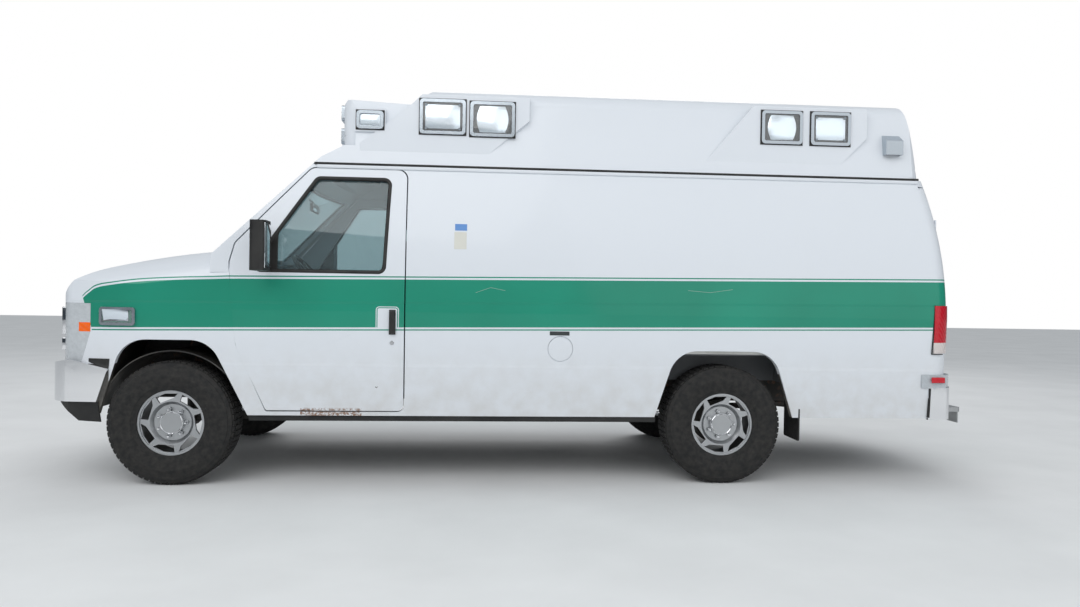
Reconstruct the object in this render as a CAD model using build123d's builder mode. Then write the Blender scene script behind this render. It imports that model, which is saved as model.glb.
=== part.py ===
from build123d import *
import os
from math import atan2, cos, radians, sin, sqrt, tan

# A raised-roof van ambulance, modelled at its real size in millimetres.
# +X runs to the rear, -Y is the driver's side and +Z is up. The origin is on the ground,
# on the centre line, half way along the overall length.

# Overall sizes
OVERALL_LENGTH = 6012.0
FRONT_OVERHANG = 762.0
WHEELBASE = 3505.0
FRONT_TRACK = 1763.0
REAR_TRACK = 1707.0
FRONT_X = -OVERALL_LENGTH / 2
REAR_X = OVERALL_LENGTH / 2
FRONT_AXLE_X = FRONT_X + FRONT_OVERHANG
REAR_AXLE_X = FRONT_AXLE_X + WHEELBASE

# Tyres and rims
TYRE_DIAMETER = 774.0
TYRE_WIDTH = 245.0
TYRE_SHOULDER = 38.0
RIM_DIAMETER = 406.4
RIM_WIDTH = 178.0
RIM_LIP = 12.0
RIM_WALL = 7.0
AXLE_Z = TYRE_DIAMETER / 2

# The body section: half widths at the sill, the belt and the gutter
SILL_Z = 440.0
BELT_Z = 1100.0
GUTTER_Z = 2035.0
SILL_HALF = 985.0
BELT_HALF = 1008.0
GUTTER_HALF = 905.0
WALL = 50.0
REAR_DOOR_WALL = 40.0
NOSE_WALL = 30.0
SEAT_GAP = 0.3

# The windscreen: its foot at the cowl and its head under the gutter, both at the pillar
COWL_Z = 1439.0
SCREEN_FOOT_X = FRONT_AXLE_X + 208.0
SCREEN_HEAD_X = FRONT_AXLE_X + 791.0
SCREEN_HEAD_Z = 1994.0
SCREEN_HALF = 900.0
SCREEN_BOW = 110.0
SCREEN_ANGLE = atan2(SCREEN_HEAD_Z - COWL_Z, SCREEN_HEAD_X - SCREEN_FOOT_X)

# The rear wall stands upright to the tail's waist and leans forward above it
TAIL_X = REAR_X - 206.0
TAIL_WAIST_Z = BELT_Z
TAIL_LEAN = 140.0
TAIL_CORNER = 122.0

# The nose
NOSE_X = FRONT_AXLE_X - 728.0
NOSE_RAKE = 26.0
NOSE_REAR_X = FRONT_AXLE_X + 640.0
NOSE_FRONT_HALF = 775.0
HOOD_HALF = 790.0
HOOD_REAR_X = FRONT_AXLE_X + 50.0
HOOD_LIP_Z = 1132.0
HOOD_GAP = 8.0
HOOD_SLOPE = 9.7

# Gaps round the moving panels
DOOR_GAP = 8.0
LEAF_GAP = 12.0
REAR_LEAF_GAP = 15.0

# The chassis
RAIL_CENTRE = 440.0
RAIL_WIDTH = 80.0
RAIL_BOTTOM_Z = 485.0
FLOOR_BOTTOM_Z = 655.0
FLOOR_TOP_Z = 690.0
KINGPIN_Y = 821.0
KINGPIN_RADIUS = 15.0

# The raised roof
ROOF_EDGE_Z = 2544.0
ROOF_CROWN_Z = 2582.0
ROOF_WALL = 40.0
ROOF_CORNER = 130.0
ROOF_TAPER = 7.5
ROOF_BOX_Z = 2160.0
BOX_CORNER = 90.0

HIGH = 3000.0


def save(piece, name):
    piece.part.label = name
    export_step(piece.part, f"parts/{name}.step")


def ax(x):
    """A station measured rearward from the front axle."""
    return FRONT_AXLE_X + x


def rx(x):
    """A station measured rearward from the rear axle."""
    return REAR_AXLE_X + x


def side_prism(points, y_low, y_high, radii=None, grow=0.0):
    """A prism along Y whose side view is the outline, each corner rounded by its radius."""
    with BuildPart() as prism:
        with BuildSketch(Plane.XZ.offset(-y_high)):
            with BuildLine():
                if radii is None:
                    Polyline(*points, close=True)
                else:
                    FilletPolyline(*points, radius=radii, close=True)
            make_face()
            if grow:
                offset(amount=grow, kind=Kind.INTERSECTION)
        extrude(amount=y_high - y_low)
    return prism.part


def front_prism(points, x_low, x_high, radii=None, grow=0.0):
    """A prism along X whose front view is the outline."""
    with BuildPart() as prism:
        with BuildSketch(Plane.YZ.offset(x_low)):
            with BuildLine():
                if radii is None:
                    Polyline(*points, close=True)
                else:
                    FilletPolyline(*points, radius=radii, close=True)
            make_face()
            if grow:
                offset(amount=grow, kind=Kind.INTERSECTION)
        extrude(amount=x_high - x_low)
    return prism.part


def block(x_low, x_high, y_low, y_high, z_low, z_high):
    """A plain box between two corners, used to pick out a region."""
    with BuildPart() as region:
        with Locations(((x_low + x_high) / 2, (y_low + y_high) / 2, (z_low + z_high) / 2)):
            Box(x_high - x_low, y_high - y_low, z_high - z_low)
    return region.part


def half_width(z):
    """The body's half width above the belt, where the side curves in to the gutter."""
    rise = GUTTER_Z - BELT_Z
    fall = BELT_HALF - GUTTER_HALF
    radius = (rise * rise + fall * fall) / (2 * fall)
    return BELT_HALF - radius + sqrt(radius * radius - (z - BELT_Z) ** 2)


def ahead_of_screen(shift):
    """The space ahead of the bowed windscreen, from its foot to well above its head."""
    wide = BELT_HALF + 60
    radius = (SCREEN_HALF ** 2 + SCREEN_BOW ** 2) / (2 * SCREEN_BOW)
    centre_x = SCREEN_FOOT_X - SCREEN_BOW + shift
    foot_x = centre_x + radius - sqrt(radius ** 2 - wide ** 2)
    far_x = SCREEN_FOOT_X - 1000
    with BuildPart() as space:
        with BuildSketch(Plane.XY.offset(COWL_Z)) as plan:
            with BuildLine():
                ThreePointArc((foot_x, -wide), (centre_x, 0), (foot_x, wide))
                Polyline((foot_x, wide), (far_x, wide), (far_x, -wide), (foot_x, -wide))
            make_face()
        screen_run = (GUTTER_Z + 200 - COWL_Z) / sin(SCREEN_ANGLE)
        extrude(plan.sketch, amount=screen_run, dir=(cos(SCREEN_ANGLE), 0, sin(SCREEN_ANGLE)))
        extrude(plan.sketch, amount=COWL_Z - SILL_Z + 100, dir=(0, 0, -1))
    return space.part


def cabin(inset):
    """The body from the windscreen to the tail, with its skin moved in by the inset."""
    reach = 60.0 if inset else 0.0
    middle_z = (BELT_Z + GUTTER_Z) / 2
    shift = inset / sin(SCREEN_ANGLE)
    front_x = SCREEN_FOOT_X - SCREEN_BOW - 10
    tail = TAIL_X - inset
    with BuildPart() as body:
        with BuildSketch(Plane.YZ.offset(front_x)):
            with BuildLine():
                foot = (SILL_HALF - inset, SILL_Z - reach)
                belt = (BELT_HALF - inset, BELT_Z)
                middle = (half_width(middle_z) - inset, middle_z)
                head = (GUTTER_HALF - inset, GUTTER_Z)
                top_z = GUTTER_Z + reach + 10
                Polyline((0, SILL_Z - reach), foot, belt)
                ThreePointArc(belt, middle, head)
                Polyline(head, (GUTTER_HALF - inset, top_z), (0, top_z))
                mirror(about=Plane.YZ)
            make_face()
        extrude(amount=tail - front_x)
        with BuildSketch(Plane.XZ.offset(-BELT_HALF - 100)):
            with BuildLine():
                waist = (tail, TAIL_WAIST_Z)
                top = (tail - TAIL_LEAN, GUTTER_Z)
                lean_z = (TAIL_WAIST_Z + GUTTER_Z) / 2
                Polyline(
                    top,
                    (front_x - 1, GUTTER_Z),
                    (front_x - 1, SILL_Z - reach - 1),
                    (tail, SILL_Z - reach - 1),
                    waist,
                )
                ThreePointArc(waist, (tail - TAIL_LEAN / 4, lean_z), top)
            make_face()
        extrude(amount=2 * BELT_HALF + 200, mode=Mode.INTERSECT)
        corner = TAIL_CORNER - inset
        upright = body.edges().filter_by_position(
            Axis.X, tail - TAIL_LEAN - 5, tail + 5
        ).filter_by(lambda e: abs(e.center().Y) > GUTTER_HALF - inset - 10 and e.length > 300)
        fillet(upright, radius=corner)
        add(ahead_of_screen(shift), mode=Mode.SUBTRACT)
    return body.part


def nose(inset):
    """The bonnet and wings ahead of the doors, with their skin moved in by the inset."""
    drop = 60.0 if inset else 0.0
    bottom_z = SILL_Z - drop
    rear_x = NOSE_REAR_X + drop
    run = (cos(radians(HOOD_SLOPE)), 0, sin(radians(HOOD_SLOPE)))
    with BuildPart() as body:
        with BuildSketch(Plane.XY.offset(bottom_z)):
            with BuildLine():
                rear = (rear_x, BELT_HALF - inset)
                wing = (ax(-150), 997 - inset)
                cheek = (ax(-625) + inset / 2, 910 - inset / 2)
                face = (NOSE_X + 16 + inset, NOSE_FRONT_HALF - inset / 3)
                Polyline((rear_x, 0), rear, wing)
                ThreePointArc(wing, (ax(-440) + inset / 6, 965 - inset), cheek)
                ThreePointArc(cheek, (ax(-701) + inset * 0.7, 836 - inset * 0.7), face)
                ThreePointArc(face, (NOSE_X + 4 + inset, face[1] / 2), (NOSE_X + inset, 0))
                mirror(about=Plane.XZ)
            make_face()
        extrude(amount=COWL_Z + 100 - bottom_z)
        with BuildSketch(Plane.XZ.offset(-BELT_HALF - 100)):
            with BuildLine():
                lip = (NOSE_X + 1 + inset, HOOD_LIP_Z + 5)
                brow = (ax(-616) + inset * 0.6, 1264 - inset * 0.8)
                crown = (ax(-436) + inset * 0.3, 1349 - inset)
                top = (rear_x + 1, 1470 - inset)
                Polyline(
                    lip,
                    (NOSE_X + NOSE_RAKE + inset, 740),
                    (NOSE_X + NOSE_RAKE + inset, bottom_z - 1),
                    (rear_x + 1, bottom_z - 1),
                    top,
                )
                ThreePointArc(top, (ax(-100), 1424 - inset), crown)
                ThreePointArc(crown, (ax(-540) + inset / 2, 1309 - inset), brow)
                ThreePointArc(brow, (ax(-674) + inset, 1206 - inset / 2), lip)
            make_face()
        extrude(amount=2 * BELT_HALF + 200, mode=Mode.INTERSECT)
        with BuildSketch(Plane.YZ.offset(rear_x + 1)) as across:
            with BuildLine():
                lift = (rear_x + 1 - SCREEN_FOOT_X) * tan(radians(HOOD_SLOPE))
                low_z = bottom_z - 400
                lean = (BELT_HALF - SILL_HALF) / (BELT_Z - SILL_Z)
                low_half = BELT_HALF - inset - lean * (BELT_Z - low_z)
                edge = (HOOD_HALF - 20, 1478 - inset + lift)
                shoulder = (932 - inset, 1398 - inset / 2 + lift)
                flank = (BELT_HALF - 4 - inset, 1275 + lift)
                Polyline((0, low_z), (low_half, low_z), (BELT_HALF - inset, BELT_Z), flank)
                ThreePointArc(flank, (985 - inset, 1344 - inset / 4 + lift), shoulder)
                ThreePointArc(shoulder, (868 - inset / 2, 1440 - inset * 0.8 + lift), edge)
                Line(edge, (0, 1498 - inset + lift))
                mirror(about=Plane.YZ)
            make_face()
        extrude(
            across.sketch,
            amount=(rear_x - NOSE_X + 60) / cos(radians(HOOD_SLOPE)),
            dir=(-run[0], 0, -run[2]),
            mode=Mode.INTERSECT,
        )
    return body.part


def arch(x, front_foot, front_head, rear_head, rear_foot, top_z, y_low, y_high):
    """The wheel opening in a side panel: straight legs and a flat crown, joined by arcs."""
    outline = [
        (x + front_foot, SILL_Z - 30),
        (x + front_head, top_z),
        (x + rear_head, top_z),
        (x + rear_foot, SILL_Z - 30),
    ]
    return side_prism(outline, y_low, y_high, radii=[0.1, 190, 190, 0.1])


def roof(inset):
    """The raised roof above the gutter, with its skin moved in by the inset."""
    low_z = GUTTER_Z - (1 if inset else 0)
    side_z = 2455.0
    side_half = 845.0
    with BuildPart() as body:
        with BuildSketch(Plane.YZ.offset(ax(780))):
            with BuildLine():
                if inset:
                    Polyline((0, low_z), (GUTTER_HALF - inset, low_z), (side_half - inset, side_z))
                else:
                    Polyline(
                        (0, low_z),
                        (GUTTER_HALF + 12, low_z),
                        (GUTTER_HALF + 12, low_z + 20),
                        (GUTTER_HALF - 2, low_z + 20),
                        (side_half, side_z),
                    )
                edge = (780 - inset / 2, ROOF_EDGE_Z - inset)
                bend = (824 - inset, 2515 - inset * 0.6)
                ThreePointArc((side_half - inset, side_z), bend, edge)
                quarter = (edge[0] / 2, edge[1] + 0.75 * (ROOF_CROWN_Z - ROOF_EDGE_Z))
                ThreePointArc(edge, quarter, (0, ROOF_CROWN_Z - inset))
                mirror(about=Plane.YZ)
            make_face()
        extrude(amount=ax(5000) - ax(780))
        with BuildSketch(Plane.XZ.offset(-BELT_HALF)):
            with BuildLine():
                Polyline(
                    (ax(800) + inset * 2, low_z),
                    (ax(1012) + inset, 2152 - inset * 0.6),
                    (ax(1004) + inset, 2430 - inset),
                    (ax(1036) + inset, 2461 - inset),
                    (ax(1456) + inset * 0.4, 2440 - inset),
                    (ax(1640) + inset * 0.4, 2594 - inset),
                    (ax(4680) - inset * 0.6, 2594 - inset),
                    (ax(4748) - inset, 2530 - inset * 0.5),
                    (ax(4779) - inset, 2446),
                    (ax(4874) - inset, low_z),
                    close=True,
                )
            make_face()
        extrude(amount=2 * BELT_HALF, mode=Mode.INTERSECT)
        with BuildSketch(Plane.XY.offset(low_z)):
            with Locations(((ax(700) + ax(4874) - inset) / 2, 0)):
                RectangleRounded(
                    ax(4874) - inset - ax(700), 2 * (GUTTER_HALF + 12 - inset), ROOF_CORNER - inset
                )
        extrude(amount=ROOF_CROWN_Z + 40 - low_z, taper=ROOF_TAPER, mode=Mode.INTERSECT)
        with BuildSketch(Plane.XY.offset(ROOF_BOX_Z)):
            with Locations((ax(1004) + inset + BOX_CORNER / 2, 0)):
                Rectangle(BOX_CORNER, 2 * BELT_HALF)
            with Locations((ax(1004) + inset + BOX_CORNER, 0)):
                RectangleRounded(2 * BOX_CORNER, 2 * (850 - inset), BOX_CORNER - 1, mode=Mode.SUBTRACT)
        extrude(amount=ROOF_CROWN_Z - ROOF_BOX_Z, mode=Mode.SUBTRACT)
        add(ahead_of_screen(inset / sin(SCREEN_ANGLE)), mode=Mode.SUBTRACT)
    return body.part


# The envelopes and their shells
cabin_outer = cabin(0)
cabin_shell = cabin_outer - cabin(WALL)
nose_outer = nose(0)
nose_inner = nose(NOSE_WALL)
nose_shell = nose_outer - nose_inner

# The seam between wing and door, from sill to belt, as (station from the front axle, z)
WING_SEAM = [(578, 460), (479, 683), (426, 794), (392, 884), (358, 1221), (352, 1330)]
wing_outline = [(ax(-900), 300), (ax(640), 300)]
wing_outline += [(ax(x), z) for x, z in WING_SEAM]
wing_outline += [(ax(352), 1520), (ax(-900), 1520)]
wing_region = side_prism(wing_outline, -BELT_HALF - 60, BELT_HALF + 60)
nose_solid = nose_outer & wing_region

# Front door: outline and window as (station from the front axle, z) with corner radii
DOOR_FRONT = [(578, 472), (479, 683), (426, 794), (392, 884), (358, 1221), (352, 1398), (382, 1514)]
DOOR_REAR_X = 1429
DOOR_HEAD_Z = 2004
DOOR_FOOT_Z = 472
door_outline = [(ax(x), z) for x, z in DOOR_FRONT]
door_outline += [(ax(833), DOOR_HEAD_Z), (ax(DOOR_REAR_X), DOOR_HEAD_Z)]
door_outline += [(ax(DOOR_REAR_X), DOOR_FOOT_Z)]
DOOR_RADII = [20, 200, 150, 200, 200, 40, 60, 60, 60, 40]
DOOR_WINDOW = [(470, 1345), (868, 1940), (1326, 1940), (1300, 1345)]
window_outline = [(ax(x), z) for x, z in DOOR_WINDOW]

# Openings of the load space
CARGO_FRONT_X = 1506
CARGO_REAR_X = 2690
CARGO_HEAD_Z = 1985
CARGO_FOOT_Z = 520
cargo_outline = [
    (ax(CARGO_FRONT_X), CARGO_FOOT_Z),
    (ax(CARGO_FRONT_X), CARGO_HEAD_Z),
    (ax(CARGO_REAR_X), CARGO_HEAD_Z),
    (ax(CARGO_REAR_X), CARGO_FOOT_Z),
]
REAR_OPEN_HALF = 911
REAR_OPEN_FOOT_Z = 736
REAR_OPEN_HEAD_Z = 1990

# Side split: each body side runs in over the pillars to this line, as (y, z)
SIDE_LINE = [(872, 380), (872, 1450), (800, 1962), (800, 2100)]


def side_region(sign):
    """All that lies outboard of the side line, on one side."""
    outline = [(sign * y, z) for y, z in SIDE_LINE]
    outline += [(sign * (BELT_HALF + 80), 2100), (sign * (BELT_HALF + 80), 380)]
    return front_prism(outline, FRONT_X, REAR_X)


front_arch = arch(FRONT_AXLE_X, -445, -290, 235, 482, 907, -BELT_HALF - 60, BELT_HALF + 60)
rear_arch = arch(REAR_AXLE_X, -470, -322, 322, 470, 872, -BELT_HALF - 60, BELT_HALF + 60)
rear_opening = block(
    TAIL_X - 300, TAIL_X + 50, -REAR_OPEN_HALF, REAR_OPEN_HALF, REAR_OPEN_FOOT_Z, REAR_OPEN_HEAD_Z
)

# Tail lamps wrap the rear corners
TAIL_LAMP_FRONT_X = ax(4912)
TAIL_LAMP_INNER = REAR_OPEN_HALF + 5
TAIL_LAMP_LOW_Z = 874
TAIL_LAMP_HIGH_Z = 1190
TAIL_LAMP_DEPTH = 30
lamp_zone = block(
    TAIL_LAMP_FRONT_X, REAR_X, TAIL_LAMP_INNER, BELT_HALF + 60, TAIL_LAMP_LOW_Z, TAIL_LAMP_HIGH_Z
)
lamp_back = cabin(TAIL_LAMP_DEPTH)

# Below the wing's shoulder the cabin's panels give way to the wings altogether
WING_SHOULDER_Z = 1330
wing_room = wing_region & block(
    ax(150), ax(640), -BELT_HALF - 60, BELT_HALF + 60, 300, WING_SHOULDER_Z
)
panels = cabin_shell - nose_solid - wing_room

# Round fuel door in the driver's side: the groove round it
FUEL_DOOR_X = 2423
FUEL_DOOR_Z = 877
FUEL_DOOR_RADIUS = 82
FUEL_DOOR_GAP = 4
FUEL_DOOR_SKIN_Y = 992
for sign, name in ((-1, "body_side_left"), (1, "body_side_right")):
    inner, outer = sorted((sign * 780, sign * (BELT_HALF + 60)))
    lamp_cut = lamp_zone if sign > 0 else lamp_zone.mirror(Plane.XZ)
    with BuildPart() as body_side:
        add(panels)
        add(side_region(sign), mode=Mode.INTERSECT)
        add(side_prism(door_outline, inner, outer, DOOR_RADII, grow=DOOR_GAP), mode=Mode.SUBTRACT)
        if sign > 0:
            add(side_prism(cargo_outline, inner, outer, 40, grow=DOOR_GAP), mode=Mode.SUBTRACT)
        add(rear_arch, mode=Mode.SUBTRACT)
        add(front_arch, mode=Mode.SUBTRACT)
        add(rear_opening, mode=Mode.SUBTRACT)
        add(lamp_cut - lamp_back, mode=Mode.SUBTRACT)
        if sign < 0:
            with BuildSketch(Plane.XZ.offset(FUEL_DOOR_SKIN_Y)):
                with Locations((ax(FUEL_DOOR_X), FUEL_DOOR_Z)):
                    Circle(FUEL_DOOR_RADIUS)
                    Circle(FUEL_DOOR_RADIUS - FUEL_DOOR_GAP, mode=Mode.SUBTRACT)
            extrude(amount=20, mode=Mode.SUBTRACT)
    save(body_side, name)

for sign, name in ((-1, "driver_door"), (1, "passenger_door")):
    inner, outer = sorted((sign * 850, sign * (BELT_HALF + 60)))
    window = side_prism(window_outline, inner, outer, 40)
    with BuildPart() as door:
        add(cabin_shell)
        add(side_prism(door_outline, inner, outer, DOOR_RADII), mode=Mode.INTERSECT)
        add(window, mode=Mode.SUBTRACT)
    save(door, name)
    with BuildPart() as pane:
        add(cabin(20) - cabin(26))
        add(side_prism(window_outline, inner, outer, 40, grow=-SEAT_GAP), mode=Mode.INTERSECT)
    save(pane, name + "_glass")

# Side cargo doors: two leaves on the passenger side, each with a window
LEAF_MEET_X = (CARGO_FRONT_X + CARGO_REAR_X) / 2
CARGO_WINDOW_LOW_Z = 1370
CARGO_WINDOW_HIGH_Z = 1880
CARGO_WINDOW_MARGIN = 95
LEAVES = [
    ("side_door_front", CARGO_FRONT_X, LEAF_MEET_X - LEAF_GAP / 2, [40, 40, 2, 2]),
    ("side_door_rear", LEAF_MEET_X + LEAF_GAP / 2, CARGO_REAR_X, [2, 2, 40, 40]),
]
for name, low_x, high_x, radii in LEAVES:
    leaf_outline = [
        (ax(low_x), CARGO_FOOT_Z),
        (ax(low_x), CARGO_HEAD_Z),
        (ax(high_x), CARGO_HEAD_Z),
        (ax(high_x), CARGO_FOOT_Z),
    ]
    opening = [
        (ax(low_x + CARGO_WINDOW_MARGIN), CARGO_WINDOW_LOW_Z),
        (ax(low_x + CARGO_WINDOW_MARGIN), CARGO_WINDOW_HIGH_Z),
        (ax(high_x - CARGO_WINDOW_MARGIN), CARGO_WINDOW_HIGH_Z),
        (ax(high_x - CARGO_WINDOW_MARGIN), CARGO_WINDOW_LOW_Z),
    ]
    with BuildPart() as leaf:
        add(cabin_shell)
        add(side_prism(leaf_outline, 850, BELT_HALF + 60, radii), mode=Mode.INTERSECT)
        add(side_prism(opening, 850, BELT_HALF + 60, 50), mode=Mode.SUBTRACT)
    save(leaf, name)
    with BuildPart() as pane:
        add(cabin(20) - cabin(26))
        add(side_prism(opening, 850, BELT_HALF + 60, 50, grow=-SEAT_GAP), mode=Mode.INTERSECT)
    save(pane, name + "_glass")

# Rear doors: two leaves between the tail corners, each with a window
REAR_DOOR_SIDE = 903
REAR_DOOR_FOOT_Z = 744
REAR_DOOR_HEAD_Z = 1982
REAR_WINDOW_INNER = 120
REAR_WINDOW_OUTER = 770
REAR_WINDOW_LOW_Z = 1370
REAR_WINDOW_HIGH_Z = 1890
rear_shell = cabin_outer - cabin(REAR_DOOR_WALL)
for sign, name in ((-1, "rear_door_left"), (1, "rear_door_right")):
    door_face = [
        (sign * REAR_LEAF_GAP / 2, REAR_DOOR_FOOT_Z),
        (sign * REAR_DOOR_SIDE, REAR_DOOR_FOOT_Z),
        (sign * REAR_DOOR_SIDE, REAR_DOOR_HEAD_Z),
        (sign * REAR_LEAF_GAP / 2, REAR_DOOR_HEAD_Z),
    ]
    window_face = [
        (sign * REAR_WINDOW_INNER, REAR_WINDOW_LOW_Z),
        (sign * REAR_WINDOW_OUTER, REAR_WINDOW_LOW_Z),
        (sign * REAR_WINDOW_OUTER, REAR_WINDOW_HIGH_Z),
        (sign * REAR_WINDOW_INNER, REAR_WINDOW_HIGH_Z),
    ]
    low_x = TAIL_X - TAIL_LEAN - REAR_DOOR_WALL - 15
    with BuildPart() as rear_door:
        add(rear_shell)
        add(front_prism(door_face, low_x, REAR_X), mode=Mode.INTERSECT)
        add(front_prism(window_face, low_x, REAR_X, 50), mode=Mode.SUBTRACT)
    save(rear_door, name)
    with BuildPart() as pane:
        add(cabin(16) - cabin(22))
        add(front_prism(window_face, low_x, REAR_X, 50, grow=-SEAT_GAP), mode=Mode.INTERSECT)
    save(pane, name + "_glass")

# Windscreen, between the pillars, the cowl and the front header
SCREEN_LOW_Z = 1462
HEADER_Z = 1958
HEADER_REAR_X = 960
screen_face = []
for sign in (-1, 1):
    pair = [(sign * (872 - SEAT_GAP), 1450), (sign * (800 + 0.2), HEADER_Z)]
    screen_face += pair if sign < 0 else pair[::-1]
with BuildPart() as windscreen:
    add(cabin(10) - cabin(16))
    add(front_prism(screen_face, ax(60), ax(HEADER_REAR_X)), mode=Mode.INTERSECT)
    add(block(FRONT_X, REAR_X, -1100, 1100, SCREEN_LOW_Z, HEADER_Z - SEAT_GAP), mode=Mode.INTERSECT)
    add(nose_solid, mode=Mode.SUBTRACT)
save(windscreen, "windscreen")

# Cowl, firewall with its tunnel for the engine, and the footwell's side walls
TUNNEL_HALF = 335
TUNNEL_TOP_Z = 1120
firewall_side = [(500, FLOOR_TOP_Z), (330, 930), (280, 1436), (260, 1436), (310, 925), (480, FLOOR_TOP_Z)]
with BuildPart() as cab_front:
    add(nose_shell & wing_region)
    add(block(HOOD_REAR_X + HOOD_GAP, ax(352), -HOOD_HALF, HOOD_HALF, 1300, 1480), mode=Mode.INTERSECT)
    add(cabin(30), mode=Mode.SUBTRACT)
    add(side_prism([(ax(x), z) for x, z in firewall_side], -940, 940) & nose_inner)
    add(panels, mode=Mode.SUBTRACT)
    add(block(ax(200), ax(600), -TUNNEL_HALF, TUNNEL_HALF, FLOOR_TOP_Z - 5, TUNNEL_TOP_Z), mode=Mode.SUBTRACT)
save(cab_front, "cab_front")

# Nose panels: hood, grille, lamps and wings share one skin
GRILLE_HALF = 556
GRILLE_LOW_Z = 786
GRILLE_HIGH_Z = HOOD_LIP_Z - HOOD_GAP
LAMP_INNER = 562
LAMP_LOW_Z = 770
LAMP_SIDE = [(-497, GRILLE_HIGH_Z), (-497, 953), (-554, LAMP_LOW_Z)]
hood_zone = block(
    FRONT_X, HOOD_REAR_X, -HOOD_HALF, HOOD_HALF, HOOD_LIP_Z, COWL_Z + 100
)
hood_hole = block(
    FRONT_X,
    HOOD_REAR_X + HOOD_GAP,
    -HOOD_HALF - HOOD_GAP,
    HOOD_HALF + HOOD_GAP,
    GRILLE_HIGH_Z,
    COWL_Z + 100,
)
with BuildPart() as hood:
    add(nose_shell)
    add(hood_zone, mode=Mode.INTERSECT)
save(hood, "hood")

lamp_outline = [(ax(x), z) for x, z in LAMP_SIDE] + [(ax(-900), LAMP_LOW_Z), (ax(-900), GRILLE_HIGH_Z)]
lamp_region = side_prism(lamp_outline, LAMP_INNER, BELT_HALF)
lamp_hole = side_prism(lamp_outline, LAMP_INNER - 1, BELT_HALF, grow=1)
LAMP_DEPTH = 60
with BuildPart() as headlamp:
    add(nose_outer - nose(LAMP_DEPTH))
    add(lamp_region, mode=Mode.INTERSECT)
with BuildPart() as headlamps:
    add(headlamp.part)
    mirror(about=Plane.XZ)
save(headlamps, "headlamps")

GRILLE_ROWS = 5
GRILLE_COLUMNS = 4
GRILLE_BAR = 15
grille_frame = 34
slot_wide = (2 * GRILLE_HALF - 2 * grille_frame - (GRILLE_COLUMNS - 1) * GRILLE_BAR) / GRILLE_COLUMNS
slot_high = (GRILLE_HIGH_Z - GRILLE_LOW_Z - 2 * grille_frame - (GRILLE_ROWS - 1) * GRILLE_BAR) / GRILLE_ROWS
with BuildPart() as grille:
    add(nose_shell)
    add(
        block(FRONT_X, ax(-600), -GRILLE_HALF, GRILLE_HALF, GRILLE_LOW_Z, GRILLE_HIGH_Z - 0.5),
        mode=Mode.INTERSECT,
    )
    with BuildSketch(Plane.YZ.offset(ax(-760))):
        with Locations((0, (GRILLE_LOW_Z + GRILLE_HIGH_Z) / 2)):
            with GridLocations(slot_wide + GRILLE_BAR, slot_high + GRILLE_BAR, GRILLE_COLUMNS, GRILLE_ROWS):
                RectangleRounded(slot_wide, slot_high, 8)
    extrude(amount=160, mode=Mode.SUBTRACT)
save(grille, "grille")

# Wings: one pressing each side, joined under the grille, with a liner over each wheel
LINER_RADIUS = 452
LINER_THICK = 6
LINER_INNER_Y = 545
LINER_LOW_Z = 480
BUMPER_TUCK_Z = 725
with BuildPart() as liners:
    with BuildSketch(Plane.XZ.offset(-LINER_INNER_Y)):
        with Locations((FRONT_AXLE_X, AXLE_Z)):
            Circle(LINER_RADIUS)
            Circle(LINER_RADIUS - LINER_THICK, mode=Mode.SUBTRACT)
            with Locations((0, LINER_LOW_Z - AXLE_Z - LINER_RADIUS)):
                Rectangle(3 * LINER_RADIUS, 2 * LINER_RADIUS, mode=Mode.SUBTRACT)
    extrude(amount=LINER_INNER_Y - BELT_HALF)
    add(nose_inner, mode=Mode.INTERSECT)
    mirror(about=Plane.XZ)
with BuildPart() as front_wings:
    add(nose_shell)
    add(wing_region, mode=Mode.INTERSECT)
    add(hood_hole, mode=Mode.SUBTRACT)
    add(lamp_hole, mode=Mode.SUBTRACT)
    add(lamp_hole.mirror(Plane.XZ), mode=Mode.SUBTRACT)
    add(
        block(FRONT_X, ax(-600), -GRILLE_HALF, GRILLE_HALF, GRILLE_LOW_Z, GRILLE_HIGH_Z + 30),
        mode=Mode.SUBTRACT,
    )
    add(block(FRONT_X, ax(-545), -1100, 1100, 300, BUMPER_TUCK_Z), mode=Mode.SUBTRACT)
    add(front_arch, mode=Mode.SUBTRACT)
    add(
        block(HOOD_REAR_X - 10, ax(700), -HOOD_HALF - HOOD_GAP, HOOD_HALF + HOOD_GAP, 300, 1600),
        mode=Mode.SUBTRACT,
    )
    add(liners.part)
save(front_wings, "front_wings")

# Raised roof with its lamp pods
POD_FACE = 893
PODS = [
    [
        (1123, 2126),
        (1947, 2126),
        (2208, 2349),
        (2208, 2500),
        (1516, 2500),
        (1452, 2437),
        (1264, 2283),
        (1123, 2175),
    ],
    [(3363, 2104), (4301, 2124), (4479, 2308), (4479, 2500), (3700, 2500)],
    [(1090, 2250), (1284, 2250), (1284, 2398), (1090, 2398)],
]
roof_outer = roof(0)
roof_inner = roof(ROOF_WALL)
pod_parts = [side_prism([(ax(x), z) for x, z in pod], -POD_FACE, -740) for pod in PODS]
header_space = block(FRONT_X, REAR_X, -1100, 1100, HEADER_Z, GUTTER_Z + 1)
headers = (panels - side_region(-1) - side_region(1) - rear_opening) & header_space
with BuildPart() as raised_roof:
    add(roof_outer)
    add(headers)
    for pod in pod_parts:
        add(pod)
        add(pod.mirror(Plane.XZ))
    add(roof_inner, mode=Mode.SUBTRACT)
save(raised_roof, "raised_roof")

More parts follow.
